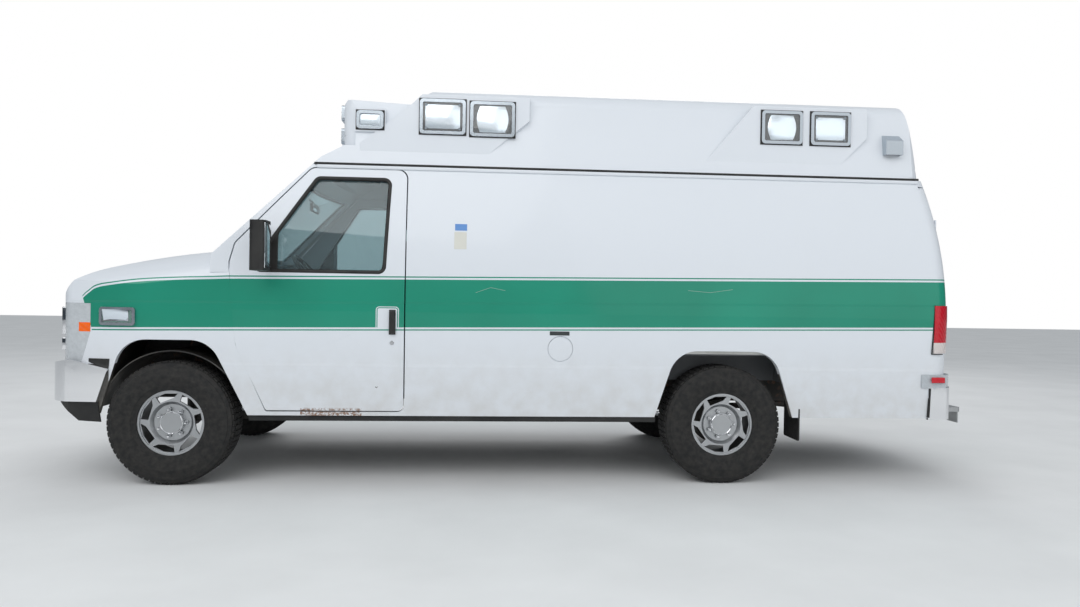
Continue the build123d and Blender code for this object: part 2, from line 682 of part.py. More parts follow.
# Scene lights on the pods, one row per light: front and rear station, low and high z
SCENE_LIGHTS = [
    (1101, 1272, 2265, 2382),
    (1501, 1795, 2245, 2470),
    (1824, 2113, 2238, 2464),
    (3752, 4030, 2250, 2470),
    (4088, 4361, 2250, 2471),
]
NOSE_LIGHTS = [(2340, 2440), (2190, 2290)]
NOSE_LIGHT_Y = 700
NOSE_LIGHT_WIDTH = 150
BEZEL_PROUD = 16
BEZEL_RIM = 20
LENS_PROUD = 10
WING_LIGHT = (-434, -209, 991, 1104)
low_x, high_x, low_z, high_z = WING_LIGHT
wing_outer = [(ax(low_x), low_z), (ax(low_x), high_z), (ax(high_x), high_z), (ax(high_x), low_z)]
wing_glass = side_prism(wing_outer, -BELT_HALF - 60, -880, 20, grow=-18)
# Hooded lamps near the roof's rear end, as (half width, z): the hood and the room under it
HOOD_LAMP_X = (4598, 4716)
hood_lamp = [(820, 2338), (868, 2334), (932, 2290), (932, 2197), (820, 2197)]
hood_room = [(830, 2325), (866, 2322), (924, 2284), (924, 2190), (830, 2190)]
with BuildPart() as light_bezels:
    add(nose(-14) - nose_outer)
    add(side_prism(wing_outer, -BELT_HALF - 60, -880, 20), mode=Mode.INTERSECT)
    add(wing_glass, mode=Mode.SUBTRACT)
    for low_x, high_x, low_z, high_z in SCENE_LIGHTS:
        with BuildSketch(Plane.XZ.offset(POD_FACE)):
            with Locations(((ax(low_x) + ax(high_x)) / 2, (low_z + high_z) / 2)):
                RectangleRounded(high_x - low_x, high_z - low_z, 24)
                RectangleRounded(
                    high_x - low_x - 2 * BEZEL_RIM, high_z - low_z - 2 * BEZEL_RIM, 12, mode=Mode.SUBTRACT
                )
        extrude(amount=BEZEL_PROUD)
    low_x, high_x = HOOD_LAMP_X
    hood_shape = front_prism([(-y, z) for y, z in hood_lamp], ax(low_x), ax(high_x))
    add(hood_shape - front_prism([(-y, z) for y, z in hood_room], ax(low_x + 8), ax(high_x - 8)))
    mirror(about=Plane.XZ)
    for low_z, high_z in NOSE_LIGHTS:
        for sign in (-1, 1):
            with BuildSketch(Plane.YZ.offset(ax(985))):
                with Locations((sign * NOSE_LIGHT_Y, (low_z + high_z) / 2)):
                    RectangleRounded(NOSE_LIGHT_WIDTH, high_z - low_z, 16)
                    RectangleRounded(
                        NOSE_LIGHT_WIDTH - 30, high_z - low_z - 30, 8, mode=Mode.SUBTRACT
                    )
            extrude(amount=40)
    add(raised_roof.part, mode=Mode.SUBTRACT)
    add(roof_inner, mode=Mode.SUBTRACT)
with BuildPart() as light_lenses:
    add(nose(-9) - nose_outer)
    add(wing_glass, mode=Mode.INTERSECT)
    for low_x, high_x, low_z, high_z in SCENE_LIGHTS:
        with BuildSketch(Plane.XZ.offset(POD_FACE)):
            with Locations(((ax(low_x) + ax(high_x)) / 2, (low_z + high_z) / 2)):
                RectangleRounded(
                    high_x - low_x - 2 * BEZEL_RIM - 1, high_z - low_z - 2 * BEZEL_RIM - 1, 11.5
                )
        extrude(amount=LENS_PROUD)
    mirror(about=Plane.XZ)
    for low_z, high_z in NOSE_LIGHTS:
        for sign in (-1, 1):
            with BuildSketch(Plane.YZ.offset(ax(990))):
                with Locations((sign * NOSE_LIGHT_Y, (low_z + high_z) / 2)):
                    RectangleRounded(NOSE_LIGHT_WIDTH - 31, high_z - low_z - 31, 7.5)
            extrude(amount=35)
    add(raised_roof.part, mode=Mode.SUBTRACT)
    add(roof_inner, mode=Mode.SUBTRACT)
save(light_bezels, "light_bezels")
save(light_lenses, "light_lenses")

# Front bumper: a pressed band round the nose, drilled for a number plate
BUMPER_FACE_X = FRONT_X
BUMPER_THICK = 45
PLATE_PITCH = 177.8
PLATE_HOLE_RADIUS = 3.2
PLATE_Z = 640
bumper_side = [(-780, 519), (-439, 519), (-372, 724), (-601, 778), (-780, 748)]


def bumper_plan(inset, depth):
    """The bumper's plan, closed across its back."""
    face = (BUMPER_FACE_X + inset, 740 - inset / 2)
    cheek = (ax(-632) + inset / 2, 980 - inset)
    with BuildPart() as plan:
        with BuildSketch(Plane.XY.offset(300)):
            with BuildLine():
                tip = (ax(-350), 1003 - inset)
                Polyline((ax(-350), 0), tip, (ax(-460), 997 - inset))
                ThreePointArc((ax(-460), 997 - inset), (ax(-540), 990 - inset), cheek)
                ThreePointArc(cheek, (ax(-729) + inset * 0.8, 900 - inset * 0.8), face)
                Line(face, (BUMPER_FACE_X + inset, 0))
                mirror(about=Plane.XZ)
            make_face()
        extrude(amount=depth)
    return plan.part


with BuildPart() as front_bumper:
    add(bumper_plan(0, 600) - bumper_plan(BUMPER_THICK, 600))
    add(side_prism([(ax(x), z) for x, z in bumper_side], -1100, 1100), mode=Mode.INTERSECT)
    add(nose_outer, mode=Mode.SUBTRACT)
    with BuildSketch(Plane.YZ.offset(FRONT_X - 10)):
        with Locations((-PLATE_PITCH / 2, PLATE_Z), (PLATE_PITCH / 2, PLATE_Z)):
            Circle(PLATE_HOLE_RADIUS)
    extrude(amount=BUMPER_THICK + 20, mode=Mode.SUBTRACT)
save(front_bumper, "front_bumper")

valance_side = [(-700, 519), (-554, 400), (-418, 393), (-439, 519)]
with BuildPart() as front_valance:
    add(bumper_plan(22, 600) - bumper_plan(34, 600))
    add(side_prism([(ax(x), z) for x, z in valance_side], -1100, 1100), mode=Mode.INTERSECT)
    add(nose_outer, mode=Mode.SUBTRACT)
save(front_valance, "front_valance")

# Rear bumper: end caps and their lamp blocks round the corners, and the tread step between
STEP_HALF = 780
STEP_TOP_Z = 486
STEP_DEPTH = 30
STEP_CORNER = 25
STEP_SKIRT = 8
CAP_OUTER = 995
CAP_REAR_X = ax(5085)
CAP_TOP_Z = 644
CAP_LOW_Z = 431
with BuildPart() as rear_bumper:
    with BuildSketch(Plane.XY.offset(CAP_LOW_Z)):
        with BuildLine():
            Polyline(
                (ax(4890), CAP_OUTER - 26),
                (ax(4890), CAP_OUTER),
                (CAP_REAR_X - 62, CAP_OUTER - 12),
                (CAP_REAR_X - 26, CAP_OUTER - 46),
                (CAP_REAR_X, CAP_OUTER - 90),
                (CAP_REAR_X + 30, STEP_HALF + SEAT_GAP),
                (TAIL_X + SEAT_GAP, STEP_HALF + SEAT_GAP),
                (TAIL_X + SEAT_GAP, 880),
                (TAIL_X - 90, 969),
                close=True,
            )
        make_face()
    extrude(amount=CAP_TOP_Z - CAP_LOW_Z)
    add(cabin_outer, mode=Mode.SUBTRACT)
    mirror(about=Plane.XZ)
save(rear_bumper, "rear_bumper")
with BuildPart() as rear_step:
    with BuildSketch(Plane.XY.offset(STEP_TOP_Z - STEP_DEPTH)):
        with Locations(((TAIL_X + SEAT_GAP + REAR_X) / 2, 0)):
            RectangleRounded(REAR_X - TAIL_X - SEAT_GAP, 2 * STEP_HALF, STEP_CORNER)
    extrude(amount=STEP_DEPTH)
    with Locations((REAR_X - STEP_SKIRT / 2, 0, STEP_TOP_Z - STEP_DEPTH - 40)):
        Box(STEP_SKIRT, 2 * STEP_HALF - 60, 80)
    with BuildSketch(Plane.YZ.offset(REAR_X - 20)):
        with Locations((-PLATE_PITCH / 2, STEP_TOP_Z - 62), (PLATE_PITCH / 2, STEP_TOP_Z - 62)):
            Circle(PLATE_HOLE_RADIUS)
    extrude(amount=40, mode=Mode.SUBTRACT)
save(rear_step, "rear_step")
with BuildPart() as tail_lamps:
    with BuildSketch(Plane.XY.offset(CAP_TOP_Z)):
        with BuildLine():
            Polyline(
                (ax(4838), 960),
                (ax(4838), 1004),
                (ax(5005), 1000),
                (ax(5064), 930),
                (ax(5075), 800),
                (TAIL_X + 1, 800),
                (TAIL_X + 1, 890),
                close=True,
            )
        make_face()
    extrude(amount=732 - CAP_TOP_Z)
    add(cabin_outer, mode=Mode.SUBTRACT)
    add((cabin(-8) - lamp_back) & lamp_zone)
    mirror(about=Plane.XZ)
save(tail_lamps, "tail_lamps")

# Mud flaps behind the rear wheels
FLAP_X = rx(500)
with BuildPart() as mud_flaps:
    for sign in (-1, 1):
        with BuildSketch(Plane.YZ.offset(FLAP_X)):
            with Locations((sign * 862, (286 + FLOOR_BOTTOM_Z) / 2)):
                RectangleRounded(250, FLOOR_BOTTOM_Z - 286, 15)
        extrude(amount=10)
    add(panels, mode=Mode.SUBTRACT)
save(mud_flaps, "mud_flaps")

# Frame: two rails, their crossmembers and the front horns
RAIL_FRONT_X = BUMPER_FACE_X + BUMPER_THICK + SEAT_GAP
RAIL_REAR_X = TAIL_X - WALL - SEAT_GAP
RAIL_SHEET = 8
# Crossmembers: station from the front axle, middle height and length
CROSSMEMBERS = [
    (-480, 530, 70),
    (0, 520, 190),
    (1450, 620, 70),
    (2790, 620, 70),
    (3960, 620, 70),
    (4880, 620, 70),
]
CROSSMEMBER_HIGH = 60
BEAM_PIVOT_Y = 170
BEAM_OFFSET = 42
SPRING_Y = 535
SPRING_TOP_Z = 560
with BuildPart() as frame_rails:
    for sign in (-1, 1):
        with BuildSketch(Plane.YZ.offset(RAIL_FRONT_X)):
            with Locations((sign * RAIL_CENTRE, (RAIL_BOTTOM_Z + FLOOR_BOTTOM_Z) / 2)):
                Rectangle(RAIL_WIDTH, FLOOR_BOTTOM_Z - RAIL_BOTTOM_Z)
                with Locations((-sign * RAIL_SHEET, 0)):
                    Rectangle(
                        RAIL_WIDTH, FLOOR_BOTTOM_Z - RAIL_BOTTOM_Z - 2 * RAIL_SHEET, mode=Mode.SUBTRACT
                    )
        extrude(amount=RAIL_REAR_X - RAIL_FRONT_X)
        with Locations((FRONT_AXLE_X, sign * (RAIL_CENTRE + RAIL_WIDTH / 2 + 53), SPRING_TOP_Z + 20)):
            Box(130, 110, 40)
        with Locations((FRONT_AXLE_X + sign * BEAM_OFFSET, -sign * BEAM_PIVOT_Y, 482)):
            Box(60, 60, 24)
    for x, z, length in CROSSMEMBERS:
        with Locations((ax(x), 0, z)):
            Box(length, 2 * RAIL_CENTRE + RAIL_WIDTH - 2, CROSSMEMBER_HIGH)
save(frame_rails, "frame_rails")

# Floor with the rear wheel boxes and the tail sill
BOX_HALF_LENGTH = 440
BOX_INNER_Y = 690
BOX_TOP_Z = 850
BOX_THICK = 8
inner_cabin = cabin(WALL)
with BuildPart() as floor_pan:
    with Locations(((ax(480) + ax(4990)) / 2, 0, (FLOOR_BOTTOM_Z + FLOOR_TOP_Z) / 2)):
        Box(ax(4990) - ax(480), 2100, FLOOR_TOP_Z - FLOOR_BOTTOM_Z)
    for sign in (-1, 1):
        with Locations((REAR_AXLE_X, sign * (BOX_INNER_Y + 200), (FLOOR_TOP_Z + BOX_TOP_Z) / 2 - 1)):
            Box(2 * BOX_HALF_LENGTH, 400, BOX_TOP_Z - FLOOR_TOP_Z + 2)
        with Locations((REAR_AXLE_X, sign * (BOX_INNER_Y + BOX_THICK + 200), BOX_TOP_Z - BOX_THICK - 200)):
            Box(2 * BOX_HALF_LENGTH - 2 * BOX_THICK, 400, 400, mode=Mode.SUBTRACT)
    add(inner_cabin, mode=Mode.INTERSECT)
    add(
        (cabin_shell & block(TAIL_X - 60, REAR_X, -871, 871, SILL_Z, REAR_OPEN_FOOT_Z)),
    )
save(floor_pan, "floor_pan")

# Wheels: one profile for the tyre, one for the pressed rim, centre and cover
RIM_RADIUS = RIM_DIAMETER / 2
HUB_RADIUS = 60
HUB_INNER = -10
BORE_RADIUS = 25
SPINDLE_RADIUS = BORE_RADIUS - SEAT_GAP
LUG_COUNT = 7
LUG_CIRCLE = 85
WINDOW_INNER = 142
WINDOW_OUTER = 186
WHEEL_HALF = RIM_WIDTH / 2
TYRE_HALF = TYRE_WIDTH / 2


def tyre(x, y):
    """A tyre standing at this station, its plane across Y."""
    crown = TYRE_DIAMETER / 2
    with BuildPart() as piece:
        with BuildSketch(Plane.XY):
            with BuildLine():
                seat = RIM_RADIUS + SEAT_GAP
                bead_y = WHEEL_HALF - 4 - SEAT_GAP
                lip = RIM_RADIUS + RIM_LIP + SEAT_GAP
                bead = (lip, WHEEL_HALF + 2)
                wall = (RIM_RADIUS + 70, TYRE_HALF)
                shoulder = (crown - TYRE_SHOULDER, TYRE_HALF - 14)
                tread = (crown - 8, TYRE_HALF - TYRE_SHOULDER)
                Polyline((seat, 0), (seat, bead_y), (lip, bead_y), bead)
                ThreePointArc(bead, (RIM_RADIUS + 26, TYRE_HALF - 12), wall)
                ThreePointArc(wall, (RIM_RADIUS + 115, TYRE_HALF - 3), shoulder)
                Line(shoulder, tread)
                ThreePointArc(tread, (crown - 2, (TYRE_HALF - TYRE_SHOULDER) / 2), (crown, 0))
                mirror(about=Plane.XZ)
            make_face()
        revolve(axis=Axis.Y)
    return piece.part.moved(Location((x, y, AXLE_Z)))


def wheel(x, y, sign):
    """A steel wheel with its cover: sign is the side that the cover faces."""
    face = WHEEL_HALF
    with BuildPart() as piece:
        with BuildSketch(Plane.XY):
            with BuildLine():
                Polyline(
                    (BORE_RADIUS, HUB_INNER),
                    (BORE_RADIUS, face - 16),
                    (0, face - 16),
                    (0, face - 6),
                    (74, face - 6),
                    (74, face - 34),
                    (LUG_CIRCLE + 28, face - 34),
                    (WINDOW_INNER - 10, face - 12),
                    (WINDOW_OUTER + 4, face - 10),
                    (RIM_RADIUS - 12, face + 2),
                    (RIM_RADIUS + RIM_LIP, face + 2),
                    (RIM_RADIUS + RIM_LIP, face - 4 + 0.1),
                    (RIM_RADIUS, face - 4),
                    (RIM_RADIUS, -face + 4),
                    (RIM_RADIUS + RIM_LIP, -face + 4 - 0.1),
                    (RIM_RADIUS + RIM_LIP, -face - 2),
                    (RIM_RADIUS - RIM_WALL, -face - 2),
                    (RIM_RADIUS - RIM_WALL - 6, face - 26),
                    (WINDOW_INNER - 4, face - 26),
                    (LUG_CIRCLE + 24, face - 46),
                    (HUB_RADIUS, face - 46),
                    (HUB_RADIUS, HUB_INNER),
                    close=True,
                )
            make_face()
        revolve(axis=Axis.Y)
        with BuildSketch(Plane.XZ.offset(-face - 20)):
            for turn in range(LUG_COUNT):
                middle = radians(turn * 360 / LUG_COUNT)
                lead = middle + radians(19)
                trail = middle - radians(17)
                tail = middle - radians(24)
                with BuildLine():
                    Polyline(
                        (WINDOW_OUTER * cos(lead), WINDOW_OUTER * sin(lead)),
                        (WINDOW_INNER * cos(lead), WINDOW_INNER * sin(lead)),
                        (WINDOW_INNER * cos(middle), WINDOW_INNER * sin(middle)),
                        (WINDOW_INNER * 1.1 * cos(trail), WINDOW_INNER * 1.1 * sin(trail)),
                        (WINDOW_OUTER * cos(tail), WINDOW_OUTER * sin(tail)),
                        (WINDOW_OUTER * cos(middle), WINDOW_OUTER * sin(middle)),
                        close=True,
                    )
                make_face()
        extrude(amount=80, mode=Mode.SUBTRACT)
        with BuildSketch(Plane.XZ.offset(-face + 30)):
            with PolarLocations(LUG_CIRCLE, LUG_COUNT):
                Circle(13)
        extrude(amount=-17)
    part = piece.part
    if sign < 0:
        part = part.mirror(Plane.XZ)
    return part.moved(Location((x, y, AXLE_Z)))


for sign, side in ((-1, "left"), (1, "right")):
    for end, x, track in (("front", FRONT_AXLE_X, FRONT_TRACK), ("rear", REAR_AXLE_X, REAR_TRACK)):
        y = sign * track / 2
        with BuildPart() as tyre_piece:
            add(tyre(x, y))
        save(tyre_piece, f"tyre_{end}_{side}")
        with BuildPart() as wheel_piece:
            add(wheel(x, y, sign))
        save(wheel_piece, f"wheel_{end}_{side}")

# Knuckles: a fork over the beam's eye, its kingpin and the spindle
EYE_HALF = 45
FORK_THICK = 24
FORK_RADIUS = 34
SPINDLE_END_Y = FRONT_TRACK / 2 + WHEEL_HALF - 18
for sign, name in ((-1, "knuckle_left"), (1, "knuckle_right")):
    eye_y = sign * KINGPIN_Y
    plate_y = KINGPIN_Y + FORK_RADIUS - 2
    with BuildPart() as knuckle:
        with Locations((FRONT_AXLE_X, eye_y, AXLE_Z)):
            Cylinder(KINGPIN_RADIUS, 2 * EYE_HALF + 2 * FORK_THICK)
        for level in (-1, 1):
            with Locations((FRONT_AXLE_X, eye_y, AXLE_Z + level * (EYE_HALF + 1 + FORK_THICK / 2))):
                Cylinder(FORK_RADIUS, FORK_THICK)
            with Locations(
                (FRONT_AXLE_X, sign * (KINGPIN_Y + 22), AXLE_Z + level * (EYE_HALF + 1 + FORK_THICK / 2))
            ):
                Box(60, 44, FORK_THICK)
        with Locations((FRONT_AXLE_X, sign * (plate_y + 8), AXLE_Z)):
            Box(60, 16, 2 * (EYE_HALF + 1 + FORK_THICK))
        with BuildSketch(Plane.XZ.offset(-sign * plate_y)):
            with Locations((FRONT_AXLE_X, AXLE_Z)):
                Circle(SPINDLE_RADIUS)
        extrude(amount=-sign * (SPINDLE_END_Y - plate_y))
    save(knuckle, name)

# Front suspension: two crossed beams, their radius arms and coil springs
BEAM_HIGH = 74
BEAM_WIDE = 52
ARM_REAR_X = 740
with BuildPart() as front_axle_beams:
    for sign in (-1, 1):
        bx = FRONT_AXLE_X + sign * BEAM_OFFSET
        with BuildSketch(Plane.YZ.offset(bx - BEAM_WIDE / 2)):
            with BuildLine():
                Polyline(
                    (sign * -BEAM_PIVOT_Y, 470),
                    (sign * -BEAM_PIVOT_Y, 470 - BEAM_HIGH),
                    (sign * 420, 300),
                    (sign * 640, 300),
                    (sign * (KINGPIN_Y - 62), AXLE_Z - 40),
                    (sign * (KINGPIN_Y - 30), AXLE_Z - 40),
                    (sign * (KINGPIN_Y - 30), AXLE_Z + 40),
                    (sign * (KINGPIN_Y - 80), AXLE_Z + 40),
                    (sign * 640, 300 + BEAM_HIGH),
                    (sign * 420, 300 + BEAM_HIGH),
                    close=True,
                )
            make_face()
        extrude(amount=BEAM_WIDE)
        with Locations((FRONT_AXLE_X + sign * BEAM_OFFSET / 2, sign * (KINGPIN_Y - 42), AXLE_Z)):
            Box(BEAM_OFFSET + BEAM_WIDE - 10, 26, 80)
        with Locations((FRONT_AXLE_X, sign * KINGPIN_Y, AXLE_Z)):
            Cylinder(30, 2 * EYE_HALF)
            Cylinder(KINGPIN_RADIUS + SEAT_GAP, 2 * EYE_HALF, mode=Mode.SUBTRACT)
    for sign in (-1, 1):
        arm = [
            (FRONT_AXLE_X, sign * (SPRING_Y + 25)),
            (FRONT_AXLE_X, sign * (SPRING_Y - 25)),
            (ax(ARM_REAR_X), sign * (RAIL_CENTRE - 25)),
            (ax(ARM_REAR_X), sign * (RAIL_CENTRE + 25)),
        ]
        with BuildSketch(Plane.XY.offset(345)):
            with BuildLine():
                Polyline(*arm, close=True)
            make_face()
        extrude(amount=50)
        with Locations((ax(ARM_REAR_X - 20), sign * RAIL_CENTRE, (345 + RAIL_BOTTOM_Z) / 2)):
            Box(50, 50, RAIL_BOTTOM_Z - 345)
        with Locations((FRONT_AXLE_X, sign * SPRING_Y, (340 + SPRING_TOP_Z) / 2)):
            Cylinder(50, SPRING_TOP_Z - 340)
save(front_axle_beams, "front_axle_beams")

# Rear axle: tube, differential, springs under the rails
TUBE_RADIUS = 42
DIFF_RADIUS = 165
AXLE_END_Y = REAR_TRACK / 2 + WHEEL_HALF - 18
DRUM_RADIUS = 148
with BuildPart() as rear_axle:
    with BuildSketch(Plane.XZ.offset(-740)):
        with Locations((REAR_AXLE_X, AXLE_Z)):
            Circle(TUBE_RADIUS)
    extrude(amount=1480)
    with BuildSketch(Plane.XZ.offset(-AXLE_END_Y)):
        with Locations((REAR_AXLE_X, AXLE_Z)):
            Circle(SPINDLE_RADIUS)
    extrude(amount=2 * AXLE_END_Y)
    for sign in (-1, 1):
        with BuildSketch(Plane.XZ.offset(-sign * 735)):
            with Locations((REAR_AXLE_X, AXLE_Z)):
                Circle(DRUM_RADIUS)
        extrude(amount=-sign * 95)
    with BuildSketch(Plane.XZ.offset(-110)):
        with Locations((REAR_AXLE_X, AXLE_Z)):
            Circle(DIFF_RADIUS)
    extrude(amount=220)
    for sign in (-1, 1):
        with BuildSketch(Plane.XZ.offset(-sign * RAIL_CENTRE - 32)):
            with BuildLine():
                low = AXLE_Z + TUBE_RADIUS - 6
                Line((rx(-640), RAIL_BOTTOM_Z), (rx(-640), RAIL_BOTTOM_Z - 30))
                ThreePointArc((rx(-640), RAIL_BOTTOM_Z - 30), (rx(0), low), (rx(640), RAIL_BOTTOM_Z - 30))
                Line((rx(640), RAIL_BOTTOM_Z - 30), (rx(640), RAIL_BOTTOM_Z))
                ThreePointArc((rx(640), RAIL_BOTTOM_Z), (rx(0), low + 34), (rx(-640), RAIL_BOTTOM_Z))
            make_face()
        extrude(amount=64)
save(rear_axle, "rear_axle")

# Engine, gearbox and propeller shaft, exhaust, tank and spare wheel
ENGINE_HALF = 240
with BuildPart() as engine_block:
    with Locations(((ax(-300) + ax(470)) / 2, 0, (560 + 1030) / 2)):
        Box(ax(470) - ax(-300), 2 * ENGINE_HALF, 470)
    for sign in (-1, 1):
        with Locations((ax(60), sign * (ENGINE_HALF + RAIL_CENTRE - RAIL_WIDTH / 2) / 2, 600)):
            Box(90, RAIL_CENTRE - RAIL_WIDTH / 2 - ENGINE_HALF + 0.01, 60)
save(engine_block, "engine_block")
SHAFT_RADIUS = 42
with BuildPart() as driveline:
    with BuildSketch(Plane.YZ.offset(ax(470))):
        with Locations((0, 560)):
            RectangleRounded(330, 180, 40)
    with BuildSketch(Plane.YZ.offset(ax(1160))):
        with Locations((0, 560)):
            RectangleRounded(180, 140, 40)
    loft(ruled=True)
    with BuildSketch(Plane(origin=(ax(1150), 0, 555), z_dir=(rx(-150) - ax(1150), 0, AXLE_Z - 555))):
        Circle(SHAFT_RADIUS)
    extrude(amount=sqrt((rx(-150) - ax(1150)) ** 2 + (AXLE_Z - 555) ** 2))
    add(rear_axle.part, mode=Mode.SUBTRACT)
save(driveline, "driveline")
with BuildPart() as radiator:
    with Locations((ax(-610), 0, 860)):
        Box(56, 780, 480)
    for sign in (-1, 1):
        with Locations((ax(-610), sign * (RAIL_CENTRE - 20), (FLOOR_BOTTOM_Z + 800) / 2)):
            Box(56, 110, 800 - FLOOR_BOTTOM_Z)
save(radiator, "radiator")
with BuildPart() as exhaust:
    with BuildLine() as run:
        FilletPolyline(
            (ax(250), ENGINE_HALF, 600),
            (ax(420), 330, 560),
            (ax(1000), 330, 400),
            (ax(1600), 560, 470),
            (ax(2900), 560, 470),
            (ax(3080), 600, 590),
            (ax(3900), 600, 590),
            (ax(4150), 760, 402),
            (ax(4300), 985, 388),
            radius=85,
        )
    with BuildSketch(Plane(origin=run.line @ 0, z_dir=run.line % 0)):
        Circle(36)
    sweep(path=run.line)
    with BuildSketch(Plane.YZ.offset(ax(1800))):
        with Locations((600, 500)):
            RectangleRounded(220, 150, 60)
    extrude(amount=620)
    add(engine_block.part, mode=Mode.SUBTRACT)
save(exhaust, "exhaust")
TANK_HIGH = 215
with BuildPart() as fuel_tank:
    with Locations(((ax(1700) + ax(2750)) / 2, -690, FLOOR_BOTTOM_Z - TANK_HIGH / 2)):
        Box(1050, 2 * (690 - RAIL_CENTRE - RAIL_WIDTH / 2), TANK_HIGH)
    fillet(fuel_tank.edges().filter_by(Axis.X), radius=45)
save(fuel_tank, "fuel_tank")
SPARE_X = 4420
with BuildPart() as spare_wheel:
    with BuildSketch(Plane.XY.offset(FLOOR_BOTTOM_Z - TYRE_WIDTH)):
        with Locations((ax(SPARE_X), 0)):
            Circle(TYRE_DIAMETER / 2)
            Circle(RIM_RADIUS - 10, mode=Mode.SUBTRACT)
    extrude(amount=TYRE_WIDTH)
    fillet(spare_wheel.edges().filter_by(GeomType.CIRCLE).group_by(SortBy.LENGTH)[-1], radius=50)
    with Locations((ax(SPARE_X), 0, FLOOR_BOTTOM_Z - 100)):
        Cylinder(RIM_RADIUS - 8, 200)
save(spare_wheel, "spare_wheel")

# Door mirrors: a housing on two short arms
MIRROR_FACE = [(532, 1340), (628, 1340), (628, 1640), (532, 1640)]
MIRROR_INNER_Y = 1085
MIRROR_OUTER_Y = 1252
SAIL_REAR_X = 640
SAIL_THICK = 14
for sign, name in ((-1, "mirror_left"), (1, "mirror_right")):
    inner, outer = sorted((sign * MIRROR_INNER_Y, sign * MIRROR_OUTER_Y))
    arm_inner, arm_outer = sorted((sign * 940, sign * (MIRROR_INNER_Y + 30)))
    with BuildPart() as mirror_piece:
        add(side_prism([(ax(x), z) for x, z in MIRROR_FACE], inner, outer))
        fillet(mirror_piece.edges().filter_by(Axis.Z), radius=34)
        for z in (1395, 1560):
            add(block(ax(556), ax(584), arm_inner, arm_outer, z - 13, z + 13))
        with BuildSketch(Plane.YZ.offset(ax(628) - 4)):
            with Locations((sign * (MIRROR_INNER_Y + MIRROR_OUTER_Y) / 2, 1490)):
                RectangleRounded(MIRROR_OUTER_Y - MIRROR_INNER_Y - 34, 262, 14)
        extrude(amount=10, mode=Mode.SUBTRACT)
        add(cabin_outer, mode=Mode.SUBTRACT)
        sail = side_prism(window_outline, arm_inner, arm_outer, 40, grow=-SEAT_GAP)
        sail = sail & (cabin_outer - cabin(SAIL_THICK))
        add(sail & block(FRONT_X, ax(SAIL_REAR_X), -1100, 1100, 0, HIGH))
    save(mirror_piece, name)

# Engine cover between the seats
with BuildPart() as engine_cover:
    with BuildSketch(Plane.YZ.offset(ax(310))):
        with Locations((0, FLOOR_TOP_Z)):
            with Locations((0, 215)):
                RectangleRounded(2 * TUNNEL_HALF - 6, 430, 60)
                with Locations((0, -8)):
                    RectangleRounded(2 * TUNNEL_HALF - 36, 400, 50, mode=Mode.SUBTRACT)
    extrude(amount=700)
    with BuildSketch(Plane.YZ.offset(ax(1010) - 12)):
        with Locations((0, FLOOR_TOP_Z + 215)):
            RectangleRounded(2 * TUNNEL_HALF - 6, 430, 60)
    extrude(amount=12)
    add(block(ax(200), ax(1100), -400, 400, 0, FLOOR_TOP_Z), mode=Mode.SUBTRACT)
    add(cab_front.part, mode=Mode.SUBTRACT)
    add(engine_block.part, mode=Mode.SUBTRACT)
save(engine_cover, "engine_cover")

# Dashboard, with the column that carries the steering wheel
WHEEL_Y = -420
COLUMN_TILT = 40
COLUMN_START = (ax(520), WHEEL_Y, 1115)
COLUMN_LENGTH = 290
STEER_RADIUS = 195
dash_side = [(270, 1418), (470, 1400), (560, 1340), (560, 1200), (500, 1050), (310, 1050)]
with BuildPart() as dashboard:
    add(side_prism([(ax(x), z) for x, z in dash_side], -925, 925))
    add(nose_inner, mode=Mode.INTERSECT)
    add(inner_cabin, mode=Mode.INTERSECT)
    add(cab_front.part, mode=Mode.SUBTRACT)
    add(block(ax(200), ax(1100), -TUNNEL_HALF, TUNNEL_HALF, 600, TUNNEL_TOP_Z + 1), mode=Mode.SUBTRACT)
    column = Plane(
        origin=COLUMN_START, z_dir=(cos(radians(COLUMN_TILT)), 0, sin(radians(COLUMN_TILT)))
    )
    with BuildSketch(column):
        Circle(38)
    extrude(amount=COLUMN_LENGTH - 40)
    with BuildSketch(column):
        Circle(11)
    extrude(amount=COLUMN_LENGTH + 14)
save(dashboard, "dashboard")
steer_plane = column.offset(COLUMN_LENGTH)
with BuildPart() as steering_wheel:
    with BuildSketch(steer_plane):
        Circle(52)
        for turn in (35, 145, 215, 325):
            with Locations((STEER_RADIUS / 2 * cos(radians(turn)), STEER_RADIUS / 2 * sin(radians(turn)))):
                Rectangle(STEER_RADIUS, 26, rotation=turn)
        Circle(11 + SEAT_GAP, mode=Mode.SUBTRACT)
    extrude(amount=18)
    with BuildSketch(steer_plane.offset(18)):
        Circle(52)
    extrude(amount=14)
    with Locations(steer_plane.offset(9)):
        Torus(STEER_RADIUS, 14)
save(steering_wheel, "steering_wheel")

